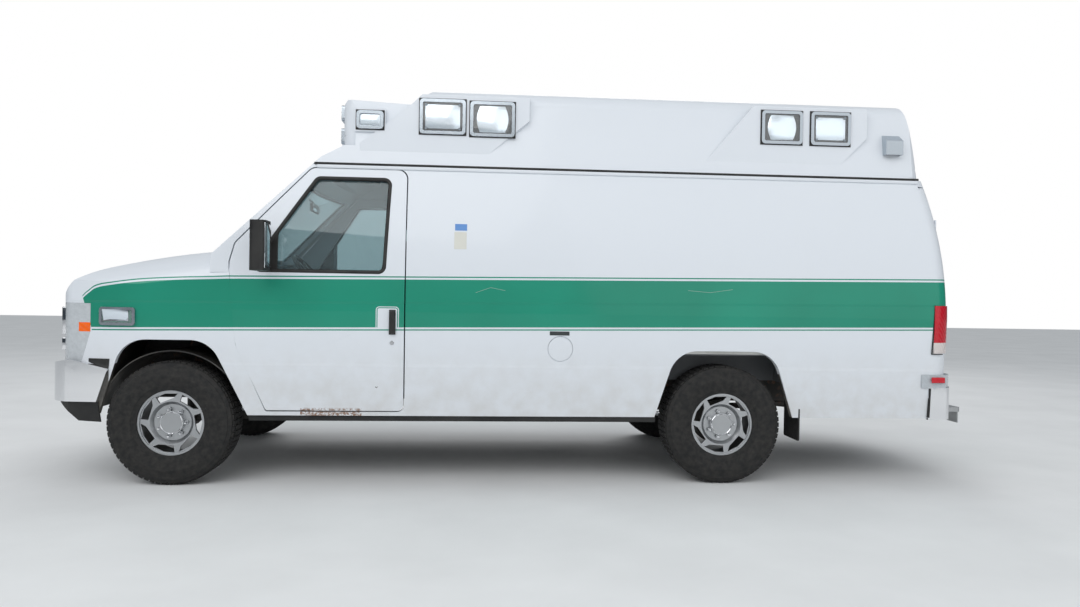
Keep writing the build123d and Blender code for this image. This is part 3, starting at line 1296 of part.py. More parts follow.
# Cab seats
SEAT_Y = 580
SEAT_HALF = 235
HEADREST_POST_X = 600
SEAT_FRONT_X = 760
seat_side = [(0, 940), (0, 1040), (430, 1030), (560, 1610), (650, 1600), (560, 940)]
pedestal = [(60, FLOOR_TOP_Z), (90, 940), (430, 940), (460, FLOOR_TOP_Z)]
rest_side = [(556, 1640), (570, 1820), (640, 1820), (650, 1640)]
with BuildPart() as cab_seats:
    for sign in (-1, 1):
        inner, outer = sorted((sign * (SEAT_Y - SEAT_HALF), sign * (SEAT_Y + SEAT_HALF)))
        add(side_prism([(ax(SEAT_FRONT_X + x), z) for x, z in seat_side], inner, outer, 45))
        add(side_prism([(ax(SEAT_FRONT_X + x), z) for x, z in pedestal], inner + 40, outer - 40))
        headrest = [(ax(SEAT_FRONT_X + x), z) for x, z in rest_side]
        add(side_prism(headrest, sign * SEAT_Y - 130, sign * SEAT_Y + 130, 30))
        post_x = ax(SEAT_FRONT_X + HEADREST_POST_X)
        add(block(post_x, post_x + 16, sign * SEAT_Y - 60, sign * SEAT_Y + 60, 1560, 1660))
save(cab_seats, "cab_seats")

# Partition behind the seats, with its doorway
PARTITION_X = 1450
PARTITION_THICK = 24
DOORWAY_HALF = 280
DOORWAY_TOP_Z = 1940
with BuildPart() as partition:
    add(block(ax(PARTITION_X), ax(PARTITION_X + PARTITION_THICK), -1100, 1100, FLOOR_TOP_Z, GUTTER_Z))
    add(inner_cabin, mode=Mode.INTERSECT)
    add(
        block(ax(PARTITION_X - 5), ax(PARTITION_X + 40), -DOORWAY_HALF, DOORWAY_HALF, 600, DOORWAY_TOP_Z),
        mode=Mode.SUBTRACT,
    )

# Equipment cabinets down the driver's side, with sunk sliding doors
CABINET_REAR_X = 4560
CABINET_FACE_Y = -500
CABINET_TOP_Z = 1980
CABINET_SHEET = 18
CABINET_RECESS = 15
CABINET_BAYS = 5
CABINET_SHELVES = 3
cabinet_low_x = ax(PARTITION_X + PARTITION_THICK)
bay = (ax(CABINET_REAR_X) - cabinet_low_x - CABINET_SHEET) / CABINET_BAYS
tier = (CABINET_TOP_Z - FLOOR_TOP_Z - CABINET_SHEET) / CABINET_SHELVES
wheel_box_left = block(rx(-BOX_HALF_LENGTH), rx(BOX_HALF_LENGTH), -1100, -BOX_INNER_Y, 600, BOX_TOP_Z)
with BuildPart() as cabinet_wall:
    add(block(cabinet_low_x, ax(CABINET_REAR_X), -1100, CABINET_FACE_Y, FLOOR_TOP_Z, CABINET_TOP_Z))
    add(inner_cabin, mode=Mode.INTERSECT)
    add(partition.part)
    add(wheel_box_left, mode=Mode.SUBTRACT)
    for column_index in range(CABINET_BAYS):
        for row_index in range(1, CABINET_SHELVES):
            bay_x = cabinet_low_x + CABINET_SHEET + column_index * bay
            tier_z = FLOOR_TOP_Z + CABINET_SHEET + row_index * tier
            add(
                block(
                    bay_x,
                    bay_x + bay - CABINET_SHEET,
                    CABINET_FACE_Y - CABINET_RECESS,
                    CABINET_FACE_Y + 5,
                    tier_z,
                    tier_z + tier - CABINET_SHEET,
                ),
                mode=Mode.SUBTRACT,
            )
save(cabinet_wall, "cabinet_wall")

# Squad bench on the passenger side, with its cushions
BENCH_FRONT_X = 2760
BENCH_REAR_X = 4640
BENCH_FACE_Y = 420
BENCH_TOP_Z = 1090
CUSHION_HIGH = 80
CUSHION_GAP = 4
with BuildPart() as squad_bench:
    add(block(ax(BENCH_FRONT_X), ax(BENCH_REAR_X), BENCH_FACE_Y, 1100, FLOOR_TOP_Z, BENCH_TOP_Z))
    add(wheel_box_left.mirror(Plane.XZ), mode=Mode.SUBTRACT)
    add(inner_cabin, mode=Mode.INTERSECT)
save(squad_bench, "squad_bench")
with BuildPart() as bench_cushions:
    cushion = (BENCH_REAR_X - BENCH_FRONT_X) / 3
    for seat_index in range(3):
        low_x = ax(BENCH_FRONT_X + seat_index * cushion)
        high_x = low_x + cushion - CUSHION_GAP
        cushion_top_z = BENCH_TOP_Z + CUSHION_HIGH
        add(block(low_x + CUSHION_GAP, high_x, BENCH_FACE_Y - 10, 915, BENCH_TOP_Z, cushion_top_z))
    fillet(bench_cushions.edges().filter_by(Axis.X), radius=20)
save(bench_cushions, "bench_cushions")

# Parking-brake cable, sagging between the rail's clip and the rear axle
CABLE_RADIUS = 7
cable_points = [
    (ax(2190), -455, RAIL_BOTTOM_Z - SEAT_GAP),
    (ax(2190), -455, 440),
    (ax(2300), -470, 395),
    (ax(2440), -500, 372),
    (ax(2590), -520, 366),
    (ax(2740), -540, 372),
    (ax(2880), -560, 388),
    (ax(3000), -575, 412),
    (ax(3060), -580, 470),
    (ax(3060), -580, FLOOR_BOTTOM_Z),
]
cable_runs = [Vector(*b) - Vector(*a) for a, b in zip(cable_points, cable_points[1:])]
cable_radii = []
for before, after in zip(cable_runs, cable_runs[1:]):
    turn = radians(before.get_angle(after))
    cable_radii.append(0.45 * min(before.length, after.length) / tan(turn / 2))
with BuildPart() as brake_cable:
    with BuildLine() as route:
        FilletPolyline(*cable_points, radius=cable_radii)
    with BuildSketch(Plane(origin=route.line @ 0, z_dir=route.line % 0)):
        Circle(CABLE_RADIUS)
    sweep(path=route.line)
save(brake_cable, "brake_cable")
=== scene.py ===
from math import cos, pi, radians, sin, sqrt

import bpy
from mathutils import Euler, Matrix, Vector


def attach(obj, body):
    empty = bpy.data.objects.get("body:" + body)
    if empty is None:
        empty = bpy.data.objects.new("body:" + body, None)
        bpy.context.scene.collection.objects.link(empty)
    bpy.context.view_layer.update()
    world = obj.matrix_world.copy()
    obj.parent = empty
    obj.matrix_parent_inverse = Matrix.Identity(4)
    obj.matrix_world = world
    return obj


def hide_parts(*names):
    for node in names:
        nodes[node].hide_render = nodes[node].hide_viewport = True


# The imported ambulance: metres, +X to the rear, -Y the driver's side, +Z up
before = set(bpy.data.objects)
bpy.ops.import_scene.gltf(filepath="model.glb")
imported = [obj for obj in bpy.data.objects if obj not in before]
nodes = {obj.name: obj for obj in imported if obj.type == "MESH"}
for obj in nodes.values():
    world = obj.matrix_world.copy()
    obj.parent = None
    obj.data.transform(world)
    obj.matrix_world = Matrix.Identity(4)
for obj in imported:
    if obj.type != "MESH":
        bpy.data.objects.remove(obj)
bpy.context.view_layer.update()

FRONT_AXLE = -2.244
REAR_AXLE = 1.261
AXLE_HIGH = 0.387
TAIL = 2.800
# The side is widest at the belt, and draws in to the sill below it and to the gutter above
BELT_Z, BELT_HALF = 1.1, 1.008
SILL_DROP, SILL_TUCK = 0.645, 0.023
GUTTER_RISE, GUTTER_TUCK = 0.935, 0.103


def ax(x):
    """A station in millimetres rearward of the front axle, in metres of the shared frame."""
    return FRONT_AXLE + x / 1000


def half_width(z):
    """The body's half width at a height, from sill to gutter, in metres."""
    if z < BELT_Z:
        return BELT_HALF - SILL_TUCK * (BELT_Z - z) / SILL_DROP
    radius = (GUTTER_RISE ** 2 + GUTTER_TUCK ** 2) / (2 * GUTTER_TUCK)
    return BELT_HALF - radius + sqrt(radius ** 2 - (z - BELT_Z) ** 2)


# Camera: it stands beside the driver's door and looks level, turned a little to the rear
camera = bpy.data.objects.new("camera", bpy.data.cameras.new("camera"))
bpy.context.scene.collection.objects.link(camera)
camera.data.sensor_width = 36.0
camera.data.lens = 26.9
camera.data.clip_end = 200.0
YAW, PITCH, ROLL = radians(-4.41), radians(-0.59), radians(0.93)
stand = Matrix.Translation((-0.353, -6.142, 1.219))
turn = Euler((radians(90) + PITCH, 0, YAW)).to_matrix().to_4x4()
camera.matrix_world = stand @ turn @ Matrix.Rotation(ROLL, 4, "Z")
bpy.context.scene.camera = camera
bpy.context.scene.view_settings.view_transform = "Standard"


# Materials
def dress(obj, finish):
    """Gives an object one finish in place of its own."""
    obj.data.materials.clear()
    obj.data.materials.append(finish)


def linear(code):
    """An sRGB hex colour as the linear colour that a shader takes."""
    parts = [int(code[i:i + 2], 16) / 255 for i in (1, 3, 5)]
    return [c / 12.92 if c <= 0.04045 else ((c + 0.055) / 1.055) ** 2.4 for c in parts] + [1.0]


def add_node(tree, kind, inputs=None, settings=None):
    """Adds a node, sets its properties, and fills its inputs with values or links."""
    made = tree.nodes.new("ShaderNode" + kind)
    for key, value in (settings or {}).items():
        setattr(made, key, value)
    for key, value in (inputs or {}).items():
        if isinstance(value, bpy.types.NodeSocket):
            tree.links.new(value, made.inputs[key])
        else:
            made.inputs[key].default_value = value
    return made


def calc(tree, operation, *values):
    """One step of arithmetic on numbers or sockets."""
    made = add_node(tree, "Math", dict(enumerate(values)), {"operation": operation})
    return made.outputs[0]


def chain(tree, operation, *values):
    """One operation over several numbers or sockets in turn."""
    result = values[0]
    for value in values[1:]:
        result = calc(tree, operation, result, value)
    return result


def split_point(tree, point):
    """A point's or a direction's x, y and z."""
    return add_node(tree, "SeparateXYZ", {0: point}).outputs


def blend_colours(tree, share, *pair):
    """The first colour turning to the second by the share, each of them hex or a socket."""
    first, second = [linear(colour) if isinstance(colour, str) else colour for colour in pair]
    mix = add_node(tree, "Mix", {0: share, 6: first, 7: second}, {"data_type": "RGBA"})
    return mix.outputs[2]


def new_material(name, colour, **values):
    """A material of this colour and these values, its tree, its shader and its point."""
    made = bpy.data.materials.new(name)
    made.use_nodes = True
    tree = made.node_tree
    shader = tree.nodes["Principled BSDF"]
    shader.inputs["Base Color"].default_value = linear(colour)
    for key, value in values.items():
        shader.inputs[key.replace("_", " ")].default_value = value
    made.diffuse_color = linear(colour)
    point = add_node(tree, "TexCoord").outputs["Object"]
    return made, tree, shader, point


def noise(tree, point, scale, detail):
    """A fine random pattern, so many waves to the metre."""
    inputs = {"Vector": point, "Scale": scale, "Detail": detail, "Roughness": 0.55}
    return add_node(tree, "TexNoise", inputs).outputs[0]


def band(tree, value, low, high, low_out=0.0, high_out=1.0):
    """A value's range turned to another range, and held at its ends."""
    inputs = {0: value, 1: low, 2: high, 3: low_out, 4: high_out}
    return add_node(tree, "MapRange", inputs).outputs[0]


def bump(tree, shader, height, distance, strength=1.0):
    """Relief from a height of 0 to 1, this many metres deep."""
    inputs = {"Height": height, "Distance": distance, "Strength": strength}
    relief = add_node(tree, "Bump", inputs).outputs[0]
    tree.links.new(relief, shader.inputs["Normal"])


def grime(tree, shader, point, colour, dirt, low_z, high_z, amount):
    """Road dirt that thins out with height, over a colour."""
    height = split_point(tree, point)[2]
    patches = band(tree, noise(tree, point, 9.0, 5.0), 0.35, 0.7)
    depth = band(tree, height, low_z, high_z, amount, 0.0)
    cover = calc(tree, "MULTIPLY_ADD", patches, 0.7, 0.3)
    mixed = blend_colours(tree, calc(tree, "MULTIPLY", depth, cover), colour, dirt)
    tree.links.new(mixed, shader.inputs["Base Color"])


WHITE = "#dde2e8"
STRIPE = "#00846a"
STRIPE_FADED = "#008f74"


# Where the stripe's pieces lie: metres in height, and in stations behind the front axle
STRIPE_LOW, LOW_RISE = 0.984, 0.0125
STRIPE_TOP, TOP_RISE = 1.2865, 0.0122
NOSE_END = 0.34
NOSE_CURVE = [(0.0, 0.0), (0.057, 0.30), (0.127, 0.535), (0.221, 0.64)]
NOSE_CURVE += [(0.417, 0.795), (0.653, 0.885), (0.844, 0.93), (1.0, 0.97)]
PATCH_MIDDLE, PATCH_HALF, PATCH_TOP, PATCH_ROUND = 1.325, 0.050, 1.110, 0.022


def stripe_top(tree, station):
    """The height of the stripe's upper edge: a curve on the nose, a slow rise along the side."""
    across = band(tree, station, -0.56, NOSE_END)
    curve = add_node(tree, "FloatCurve", {1: across})
    points = curve.mapping.curves[0].points
    points[0].location = NOSE_CURVE[0]
    points[1].location = NOSE_CURVE[-1]
    for spot in NOSE_CURVE[1:-1]:
        points.new(*spot)
    curve.mapping.update()
    nose_top = calc(tree, "MULTIPLY_ADD", curve.outputs[0], 0.150, 1.145)
    side_top = calc(tree, "MULTIPLY_ADD", station, TOP_RISE, STRIPE_TOP)
    on_side = calc(tree, "GREATER_THAN", station, NOSE_END)
    inputs = {0: on_side, 2: nose_top, 3: side_top}
    return add_node(tree, "Mix", inputs, {"data_type": "FLOAT"}).outputs[0]


def stripe_shape(tree, station, z):
    """The stripe, its thin outer lines, and the patch left white round the driver's handle."""
    above = calc(tree, "SUBTRACT", z, calc(tree, "MULTIPLY_ADD", station, LOW_RISE, STRIPE_LOW))
    below = calc(tree, "SUBTRACT", stripe_top(tree, station), z)
    inside = calc(tree, "MINIMUM", above, below)
    # Out from the stripe's edge come a 12 mm white gap and an 8 mm line
    line = calc(tree, "COMPARE", inside, -0.016, 0.004)
    solid = calc(tree, "GREATER_THAN", inside, 0.0)
    along = calc(tree, "ABSOLUTE", calc(tree, "SUBTRACT", station, PATCH_MIDDLE))
    beside = calc(tree, "SUBTRACT", along, PATCH_HALF)
    over = calc(tree, "SUBTRACT", z, PATCH_TOP)
    squares = [
        calc(tree, "POWER", calc(tree, "MAXIMUM", value, 0.0), 2.0) for value in (beside, over)
    ]
    far = calc(tree, "SQRT", calc(tree, "ADD", *squares))
    patch = calc(tree, "LESS_THAN", far, PATCH_ROUND)
    rim = calc(tree, "MULTIPLY", calc(tree, "COMPARE", far, 0.014, 0.003), solid)
    solid = calc(tree, "MULTIPLY", solid, calc(tree, "SUBTRACT", 1.0, patch))
    return chain(tree, "MAXIMUM", solid, line, rim)


def outer_skin(tree, station, x, y, z):
    """Where paint may be striped: outer faces only, and none ahead of the headlamps' slant."""
    lean = calc(tree, "MULTIPLY", calc(tree, "SUBTRACT", z, 0.971), 0.322)
    behind_lamps = calc(tree, "GREATER_THAN", calc(tree, "ADD", station, lean), -0.490)
    facing = split_point(tree, add_node(tree, "TexCoord").outputs["Normal"])[1]
    outer = calc(tree, "GREATER_THAN", calc(tree, "MULTIPLY", facing, y), -0.5)
    out = calc(tree, "ABSOLUTE", y)
    side = calc(tree, "MULTIPLY", calc(tree, "GREATER_THAN", out, 0.962), outer)
    nose = calc(tree, "MULTIPLY", calc(tree, "LESS_THAN", station, 0.24), outer)
    tail = calc(tree, "GREATER_THAN", x, TAIL - 0.022)
    corner = calc(tree, "GREATER_THAN", out, 0.905)
    corner = calc(tree, "MULTIPLY", corner, calc(tree, "GREATER_THAN", x, TAIL - 0.13))
    return calc(tree, "MULTIPLY", behind_lamps, chain(tree, "MAXIMUM", side, nose, tail, corner))


def wheel_arch(tree, x, y, z):
    """The inside of the wheel arches, within half a metre of an axle and behind the outer skin."""
    up = calc(tree, "SUBTRACT", z, AXLE_HIGH)
    reach = 10.0
    for axle in (FRONT_AXLE, REAR_AXLE):
        along = calc(tree, "SUBTRACT", x, axle)
        squares = [calc(tree, "POWER", value, 2.0) for value in (along, up)]
        reach = calc(tree, "MINIMUM", reach, calc(tree, "SQRT", calc(tree, "ADD", *squares)))
    behind = calc(tree, "LESS_THAN", calc(tree, "ABSOLUTE", y), 0.978)
    return calc(tree, "MULTIPLY", calc(tree, "LESS_THAN", reach, 0.50), behind)


def coachwork_paint(name, striped):
    """Sprayed two-pack white enamel: smooth, glossy, faintly dusty, with the stripe where asked."""
    made, tree, shader, point = new_material(
        name, WHITE, Roughness=0.38, Coat_Weight=0.3, Coat_Roughness=0.08
    )
    x, y, z = split_point(tree, point)
    station = calc(tree, "SUBTRACT", x, FRONT_AXLE)
    colour = WHITE
    if striped:
        shape = stripe_shape(tree, station, z)
        marks = calc(tree, "MULTIPLY", shape, outer_skin(tree, station, x, y, z))
        fade = band(tree, noise(tree, point, 1.3, 2.0), 0.3, 0.7)
        green = blend_colours(tree, fade, STRIPE, STRIPE_FADED)
        colour = blend_colours(tree, marks, WHITE, green)
    # The inside of the wheel arches painted near black, as painted shade
    colour = blend_colours(tree, wheel_arch(tree, x, y, z), colour, "#17181a")
    # Chips and rust along the driver's door foot, in a grain of about 17 mm
    rust = chain(
        tree,
        "MULTIPLY",
        band(tree, z, 0.478, 0.492, 1.0, 0.0),
        calc(tree, "LESS_THAN", y, 0.0),
        calc(tree, "COMPARE", station, 0.98, 0.19),
        band(tree, noise(tree, point, 60.0, 5.0), 0.42, 0.56),
    )
    colour = blend_colours(tree, rust, colour, "#7b4a2c")
    grime(tree, shader, point, colour, "#b3ada2", 0.42, 0.95, 0.45)
    # Pressed creases along the side, 4 mm deep: one under the stripe's middle, one near the sill
    slope = calc(tree, "MULTIPLY", station, 0.0098)
    upper = band(tree, calc(tree, "SUBTRACT", z, slope), 1.134, 1.150)
    lower = band(tree, z, 0.752, 0.772)
    peel = calc(tree, "MULTIPLY", noise(tree, point, 220.0, 2.0), 0.012)
    bump(tree, shader, calc(tree, "ADD", calc(tree, "SUBTRACT", upper, lower), peel), 0.004, 0.7)
    return made


def moulded(name, colour, roughness, grain, depth=0.0003):
    """Moulded plastic or rubber: faintly cloudy, with so many grains to the metre."""
    made, tree, shader, point = new_material(name, colour, Roughness=roughness)
    cloud = band(tree, noise(tree, point, 6.0, 4.0), 0.3, 0.75, 0.0, 0.35)
    tone = blend_colours(tree, cloud, colour, "#8a8780")
    dusty = blend_colours(tree, 0.25, colour, tone)
    tree.links.new(dusty, shader.inputs["Base Color"])
    shine = band(tree, noise(tree, point, 18.0, 3.0), 0.3, 0.7, roughness - 0.06, roughness + 0.08)
    tree.links.new(shine, shader.inputs["Roughness"])
    bump(tree, shader, noise(tree, point, grain, 2.0), depth)
    return made


def plated(name, colour, roughness, streak):
    """Plated or polished metal: bright, with faint wipe marks that change its gloss."""
    made, tree, shader, point = new_material(name, colour, Metallic=1.0, Roughness=roughness)
    marks = band(tree, noise(tree, point, 35.0, 5.0), 0.3, 0.75, roughness, roughness + streak)
    tree.links.new(marks, shader.inputs["Roughness"])
    bump(tree, shader, noise(tree, point, 12.0, 2.0), 0.0004)
    return made


def bar_pattern(made):
    """The raised bars of rolled tread plate, laid crosswise and 25 mm apart, on a metal."""
    tree = made.node_tree
    shader = tree.nodes["Principled BSDF"]
    point = add_node(tree, "TexCoord").outputs["Object"]
    bars = []
    for turn in (45, -45):
        inputs = {0: point, 3: (1.0, 1.0, 1.0), 2: (0.0, 0.0, radians(turn))}
        laid = add_node(tree, "Mapping", inputs).outputs[0]
        wave = add_node(tree, "TexWave", {"Vector": laid, "Scale": 12.6}).outputs[1]
        bars.append(band(tree, wave, 0.72, 0.86))
    bump(tree, shader, calc(tree, "MAXIMUM", *bars), 0.0016)
    return made


def safety_glass(name, colour, see_through):
    """Float glass, toughened: smooth, tinted in the mass, with a dusty film low down."""
    made, tree, shader, point = new_material(
        name, colour, Roughness=0.01, IOR=1.5, Transmission_Weight=see_through
    )
    film = band(tree, noise(tree, point, 5.0, 5.0), 0.45, 0.8, 0.0, 0.05)
    tree.links.new(calc(tree, "ADD", film, 0.01), shader.inputs["Roughness"])
    return made


def chassis_enamel(name, colour, rusty):
    """Brushed chassis enamel over hot-rolled steel, dusty, and rusted where it has chipped."""
    made, tree, shader, point = new_material(name, colour, Roughness=0.6)
    chips = band(tree, noise(tree, point, 24.0, 6.0), 0.62 - rusty * 0.2, 0.68)
    tone = blend_colours(tree, chips, colour, "#5a3b28")
    grime(tree, shader, point, tone, "#6f6a60", 0.2, 0.9, 0.5)
    bump(tree, shader, noise(tree, point, 160.0, 3.0), 0.0004)
    return made


def tyre_rubber(name):
    """Vulcanised tyre rubber: matt, greyed by dust, with a fine moulded texture."""
    made, tree, shader, point = new_material(name, "#141516", Roughness=0.78)
    dust = band(tree, noise(tree, point, 30.0, 5.0), 0.35, 0.75, 0.0, 0.35)
    tone = blend_colours(tree, dust, "#131415", "#4a4641")
    tree.links.new(tone, shader.inputs["Base Color"])
    bump(tree, shader, noise(tree, point, 500.0, 2.0), 0.0004)
    return made


def lamp_lens(name, colour, zones):
    """Moulded acrylic lens with flutes, and zones of other colours (low, high, out, colour)."""
    made, tree, shader, point = new_material(
        name, colour, Roughness=0.12, Coat_Weight=0.35, Coat_Roughness=0.03, IOR=1.49
    )
    _, y, z = split_point(tree, point)
    tone = colour
    for low, high, out, other in zones:
        here = calc(tree, "COMPARE", z, (low + high) / 2, (high - low) / 2)
        beyond = calc(tree, "GREATER_THAN", calc(tree, "ABSOLUTE", y), out)
        here = calc(tree, "MULTIPLY", here, beyond)
        tone = blend_colours(tree, here, tone, other)
    clouds = band(tree, noise(tree, point, 40.0, 2.0), 0.3, 0.7, 0.0, 0.12)
    tone = blend_colours(tree, clouds, tone, "#30343a")
    tree.links.new(tone, shader.inputs["Base Color"])
    inputs = {"Vector": point, "Scale": 17.0, "Distortion": 0.0}
    wave = add_node(tree, "TexWave", inputs, {"bands_direction": "DIAGONAL"})
    flutes = wave.outputs[1]
    bump(tree, shader, flutes, 0.0012)
    return made


paint = coachwork_paint("white two-pack enamel with green stripe", True)
plain_paint = coachwork_paint("white two-pack enamel", False)
gelcoat = coachwork_paint("white gelcoat on glass-fibre", False)
chrome = plated("chromium-plated steel", "#e2e3e5", 0.05, 0.03)
silver = plated("silver wheel lacquer", "#b9bbbd", 0.3, 0.12)
bezel_metal = plated("satin chromium bezel", "#bcc4cb", 0.22, 0.04)
tread_plate = bar_pattern(plated("rolled tread-plate aluminium", "#b7b9ba", 0.32, 0.15))
rusty_steel = chassis_enamel("weathered exhaust steel", "#6b6359", 0.9)
enamel = chassis_enamel("black chassis enamel", "#141415", 0.3)
cast = chassis_enamel("sand-cast iron", "#2c2d2f", 0.4)
black_abs = moulded("black grained ABS", "#101112", 0.42, 900.0)
rubber = moulded("extruded black EPDM rubber", "#0b0b0c", 0.55, 700.0)
flap_rubber = moulded("black sheet rubber", "#0e0e0f", 0.62, 400.0, 0.0006)
grey_trim = moulded("grey grained polypropylene", "#565a5e", 0.55, 800.0)
grille_grey = moulded("argent moulded ABS", "#6f7376", 0.38, 500.0)
laminate = moulded("white cabinet laminate", "#d6d6d1", 0.3, 300.0, 0.0001)
floor_vinyl = moulded("grey sheet vinyl", "#5d6063", 0.5, 500.0)
vinyl = moulded("dark grey upholstery vinyl", "#2a2d31", 0.5, 450.0, 0.0005)
fins = moulded("finned radiator aluminium", "#33363a", 0.5, 700.0, 0.001)
window_glass = safety_glass("tinted toughened glass", "#b4c8cc", 0.94)
lamp_glass = safety_glass("clear pressed lamp glass", "#eef2f4", 0.85)
tyre_black = tyre_rubber("vulcanised tyre rubber")
TAIL_ZONES = [(0.86, 0.945, 0.0, "#dcd3d0"), (0.60, 0.80, 0.0, "#b9bfc4")]
HEAD_ZONES = [(0.949, 1.006, 0.927, "#ff6a10")]
red_lens = lamp_lens("red acrylic lens", "#c4001f", TAIL_ZONES)
head_lens = lamp_lens("polycarbonate headlamp", "#c3c8cc", HEAD_ZONES)
silvered = plated("silvered reflector", "#dfe8f0", 0.13, 0.05)
lamp_grey = plated("anodised lamp frame", "#8f979e", 0.3, 0.08)
mirror_glass = plated("silvered mirror glass", "#e6eaee", 0.02, 0.01)
notice_white = moulded("printed white vinyl film", "#d8d8cf", 0.4, 300.0, 0.0001)
notice_blue = moulded("printed blue vinyl film", "#5a8fd0", 0.4, 300.0, 0.0001)
marker_red = moulded("red moulded acrylic", "#c4001f", 0.12, 120.0, 0.0004)
scratched = moulded("scratched enamel", "#8fb0a2", 0.6, 300.0, 0.0001)
label_dark = moulded("printed dark vinyl film", "#2f3436", 0.4, 300.0, 0.0001)
turn_amber = moulded("amber moulded acrylic", "#e8780f", 0.15, 120.0, 0.0004)
plate_face = moulded("blank pressed plate", "#d9dbd6", 0.35, 200.0, 0.0001)


# Each finish's slot in the record, and the CAD nodes that take it; films, plates and scratches on
# new pieces have no slot
FINISHES = [
    (paint, "white_paint", "body_side_left body_side_right front_wings driver_door passenger_door "
     "side_door_front side_door_rear rear_door_left rear_door_right"),
    (plain_paint, "white_paint", "hood cab_front"),
    (gelcoat, "white_paint", "raised_roof"),
    (chrome, "chrome", "front_bumper rear_bumper"),
    (bezel_metal, "chrome", "light_bezels"),
    (silvered, "chrome", ""),
    (lamp_grey, "chrome", ""),
    (mirror_glass, "chrome", ""),
    (tread_plate, "tread_plate", "rear_step"),
    (silver, "wheel_silver", "wheel_front_left wheel_front_right wheel_rear_left wheel_rear_right"),
    (tyre_black, "tyre_rubber", "tyre_front_left tyre_front_right tyre_rear_left tyre_rear_right "
     "spare_wheel"),
    (window_glass, "window_glass", "windscreen driver_door_glass passenger_door_glass "
     "side_door_front_glass side_door_rear_glass rear_door_left_glass rear_door_right_glass"),
    (lamp_glass, "lamp_glass", "light_lenses"),
    (red_lens, "lamp_red", "tail_lamps"),
    (marker_red, "lamp_red", ""),
    (head_lens, "head_lens", "headlamps"),
    (turn_amber, "head_lens", ""),
    (grille_grey, "grille_plastic", "grille"),
    (black_abs, "black_plastic", "front_valance mirror_left mirror_right steering_wheel "
     "brake_cable"),
    (rubber, "flap_rubber", ""),
    (flap_rubber, "flap_rubber", "mud_flaps"),
    (enamel, "chassis_black", "frame_rails front_axle_beams rear_axle fuel_tank knuckle_left "
     "knuckle_right"),
    (cast, "cast_engine", "engine_block"),
    (fins, "radiator_fins", "radiator"),
    (rusty_steel, "bare_steel", "exhaust driveline"),
    (grey_trim, "grey_trim", "dashboard engine_cover"),
    (floor_vinyl, "floor_vinyl", "floor_pan"),
    (laminate, "cabinet_white", "cabinet_wall squad_bench"),
    (vinyl, "seat_vinyl", "cab_seats bench_cushions"),
]
for finish, _, names in FINISHES:
    for name in names.split():
        dress(nodes[name], finish)


# Working by hand
def pick_none():
    """Leaves edit mode and selects nothing, ready for the next piece."""
    if bpy.context.mode != "OBJECT":
        bpy.ops.object.mode_set(mode="OBJECT")
    bpy.ops.object.select_all(action="DESELECT")


def only(*objects):
    """Selects these objects alone, the first of them active."""
    pick_none()
    for obj in objects:
        obj.select_set(True)
    bpy.context.view_layer.objects.active = objects[0]


def edit(obj):
    """Opens one object's mesh with all of it picked."""
    only(obj)
    bpy.ops.object.mode_set(mode="EDIT")
    bpy.ops.mesh.select_mode(type="VERT")
    pick_all()


def pick_all():
    """Picks the whole of the mesh that is open."""
    bpy.ops.mesh.select_all(action="SELECT")


def finished(obj, name, finish, body, smooth=32):
    """Names a piece, puts its place into its mesh, and gives it its finish and its body."""
    only(obj)
    obj.name = name
    obj.data.name = name
    bpy.ops.object.transform_apply()
    edit(obj)
    bpy.ops.mesh.normals_make_consistent(inside=False)
    only(obj)
    bpy.ops.object.shade_smooth_by_angle(angle=radians(smooth))
    dress(obj, finish)
    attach(obj, body)
    return obj


def line_through(points):
    """A line of points drawn by extruding one point from place to place."""
    pick_none()
    bpy.ops.mesh.primitive_plane_add(size=0.01, location=points[0])
    line = bpy.context.object
    edit(line)
    bpy.ops.mesh.merge(type="CENTER")
    for before, after in zip(points, points[1:]):
        step = Vector(after) - Vector(before)
        bpy.ops.mesh.extrude_vertices_move(TRANSFORM_OT_translate={"value": step})
    return line


def filled(points, by, edge, segments, clamp=False):
    """A flat shape filled from its corners, extruded by a vector, its edges rounded."""
    obj = line_through(points)
    pick_all()
    bpy.ops.mesh.edge_face_add()
    bpy.ops.mesh.extrude_region_move(TRANSFORM_OT_translate={"value": by})
    pick_all()
    bpy.ops.mesh.normals_make_consistent(inside=False)
    bpy.ops.mesh.bevel(offset=edge, segments=segments, affect="EDGES", clamp_overlap=clamp)
    return obj


def panel(name, points, thick, finish, edge, segments=2):
    """A flat piece on the chassis from its corners, so thick towards +Y."""
    finished(filled(points, (0, thick, 0), edge, segments, clamp=True), name, finish, "chassis")


def slab(points, y0, y1, edge):
    """A side shape of (x, z) corners, drawn across from y0 to y1."""
    return filled([(x, y0, z) for x, z in points], (0, y1 - y0, 0), edge, 3)


def block(name, low, high, finish, body, edge=0.004, segments=3):
    """A block between two corners, all its edges rounded."""
    low, high = Vector(low), Vector(high)
    pick_none()
    bpy.ops.mesh.primitive_cube_add(size=1, location=(low + high) / 2, scale=high - low)
    obj = bpy.context.object
    bpy.ops.object.transform_apply()
    edit(obj)
    bpy.ops.mesh.bevel(offset=edge, segments=segments, affect="EDGES")
    return finished(obj, name, finish, body)


def side_block(name, sign, x, out, z, finish, body="chassis", edge=0.004, segments=3):
    """A block on the left (-1) or right (1), between two x, distances out and heights."""
    low, high = sorted((sign * out[0], sign * out[1]))
    block(name, (x[0], low, z[0]), (x[1], high, z[1]), finish, body, edge, segments)


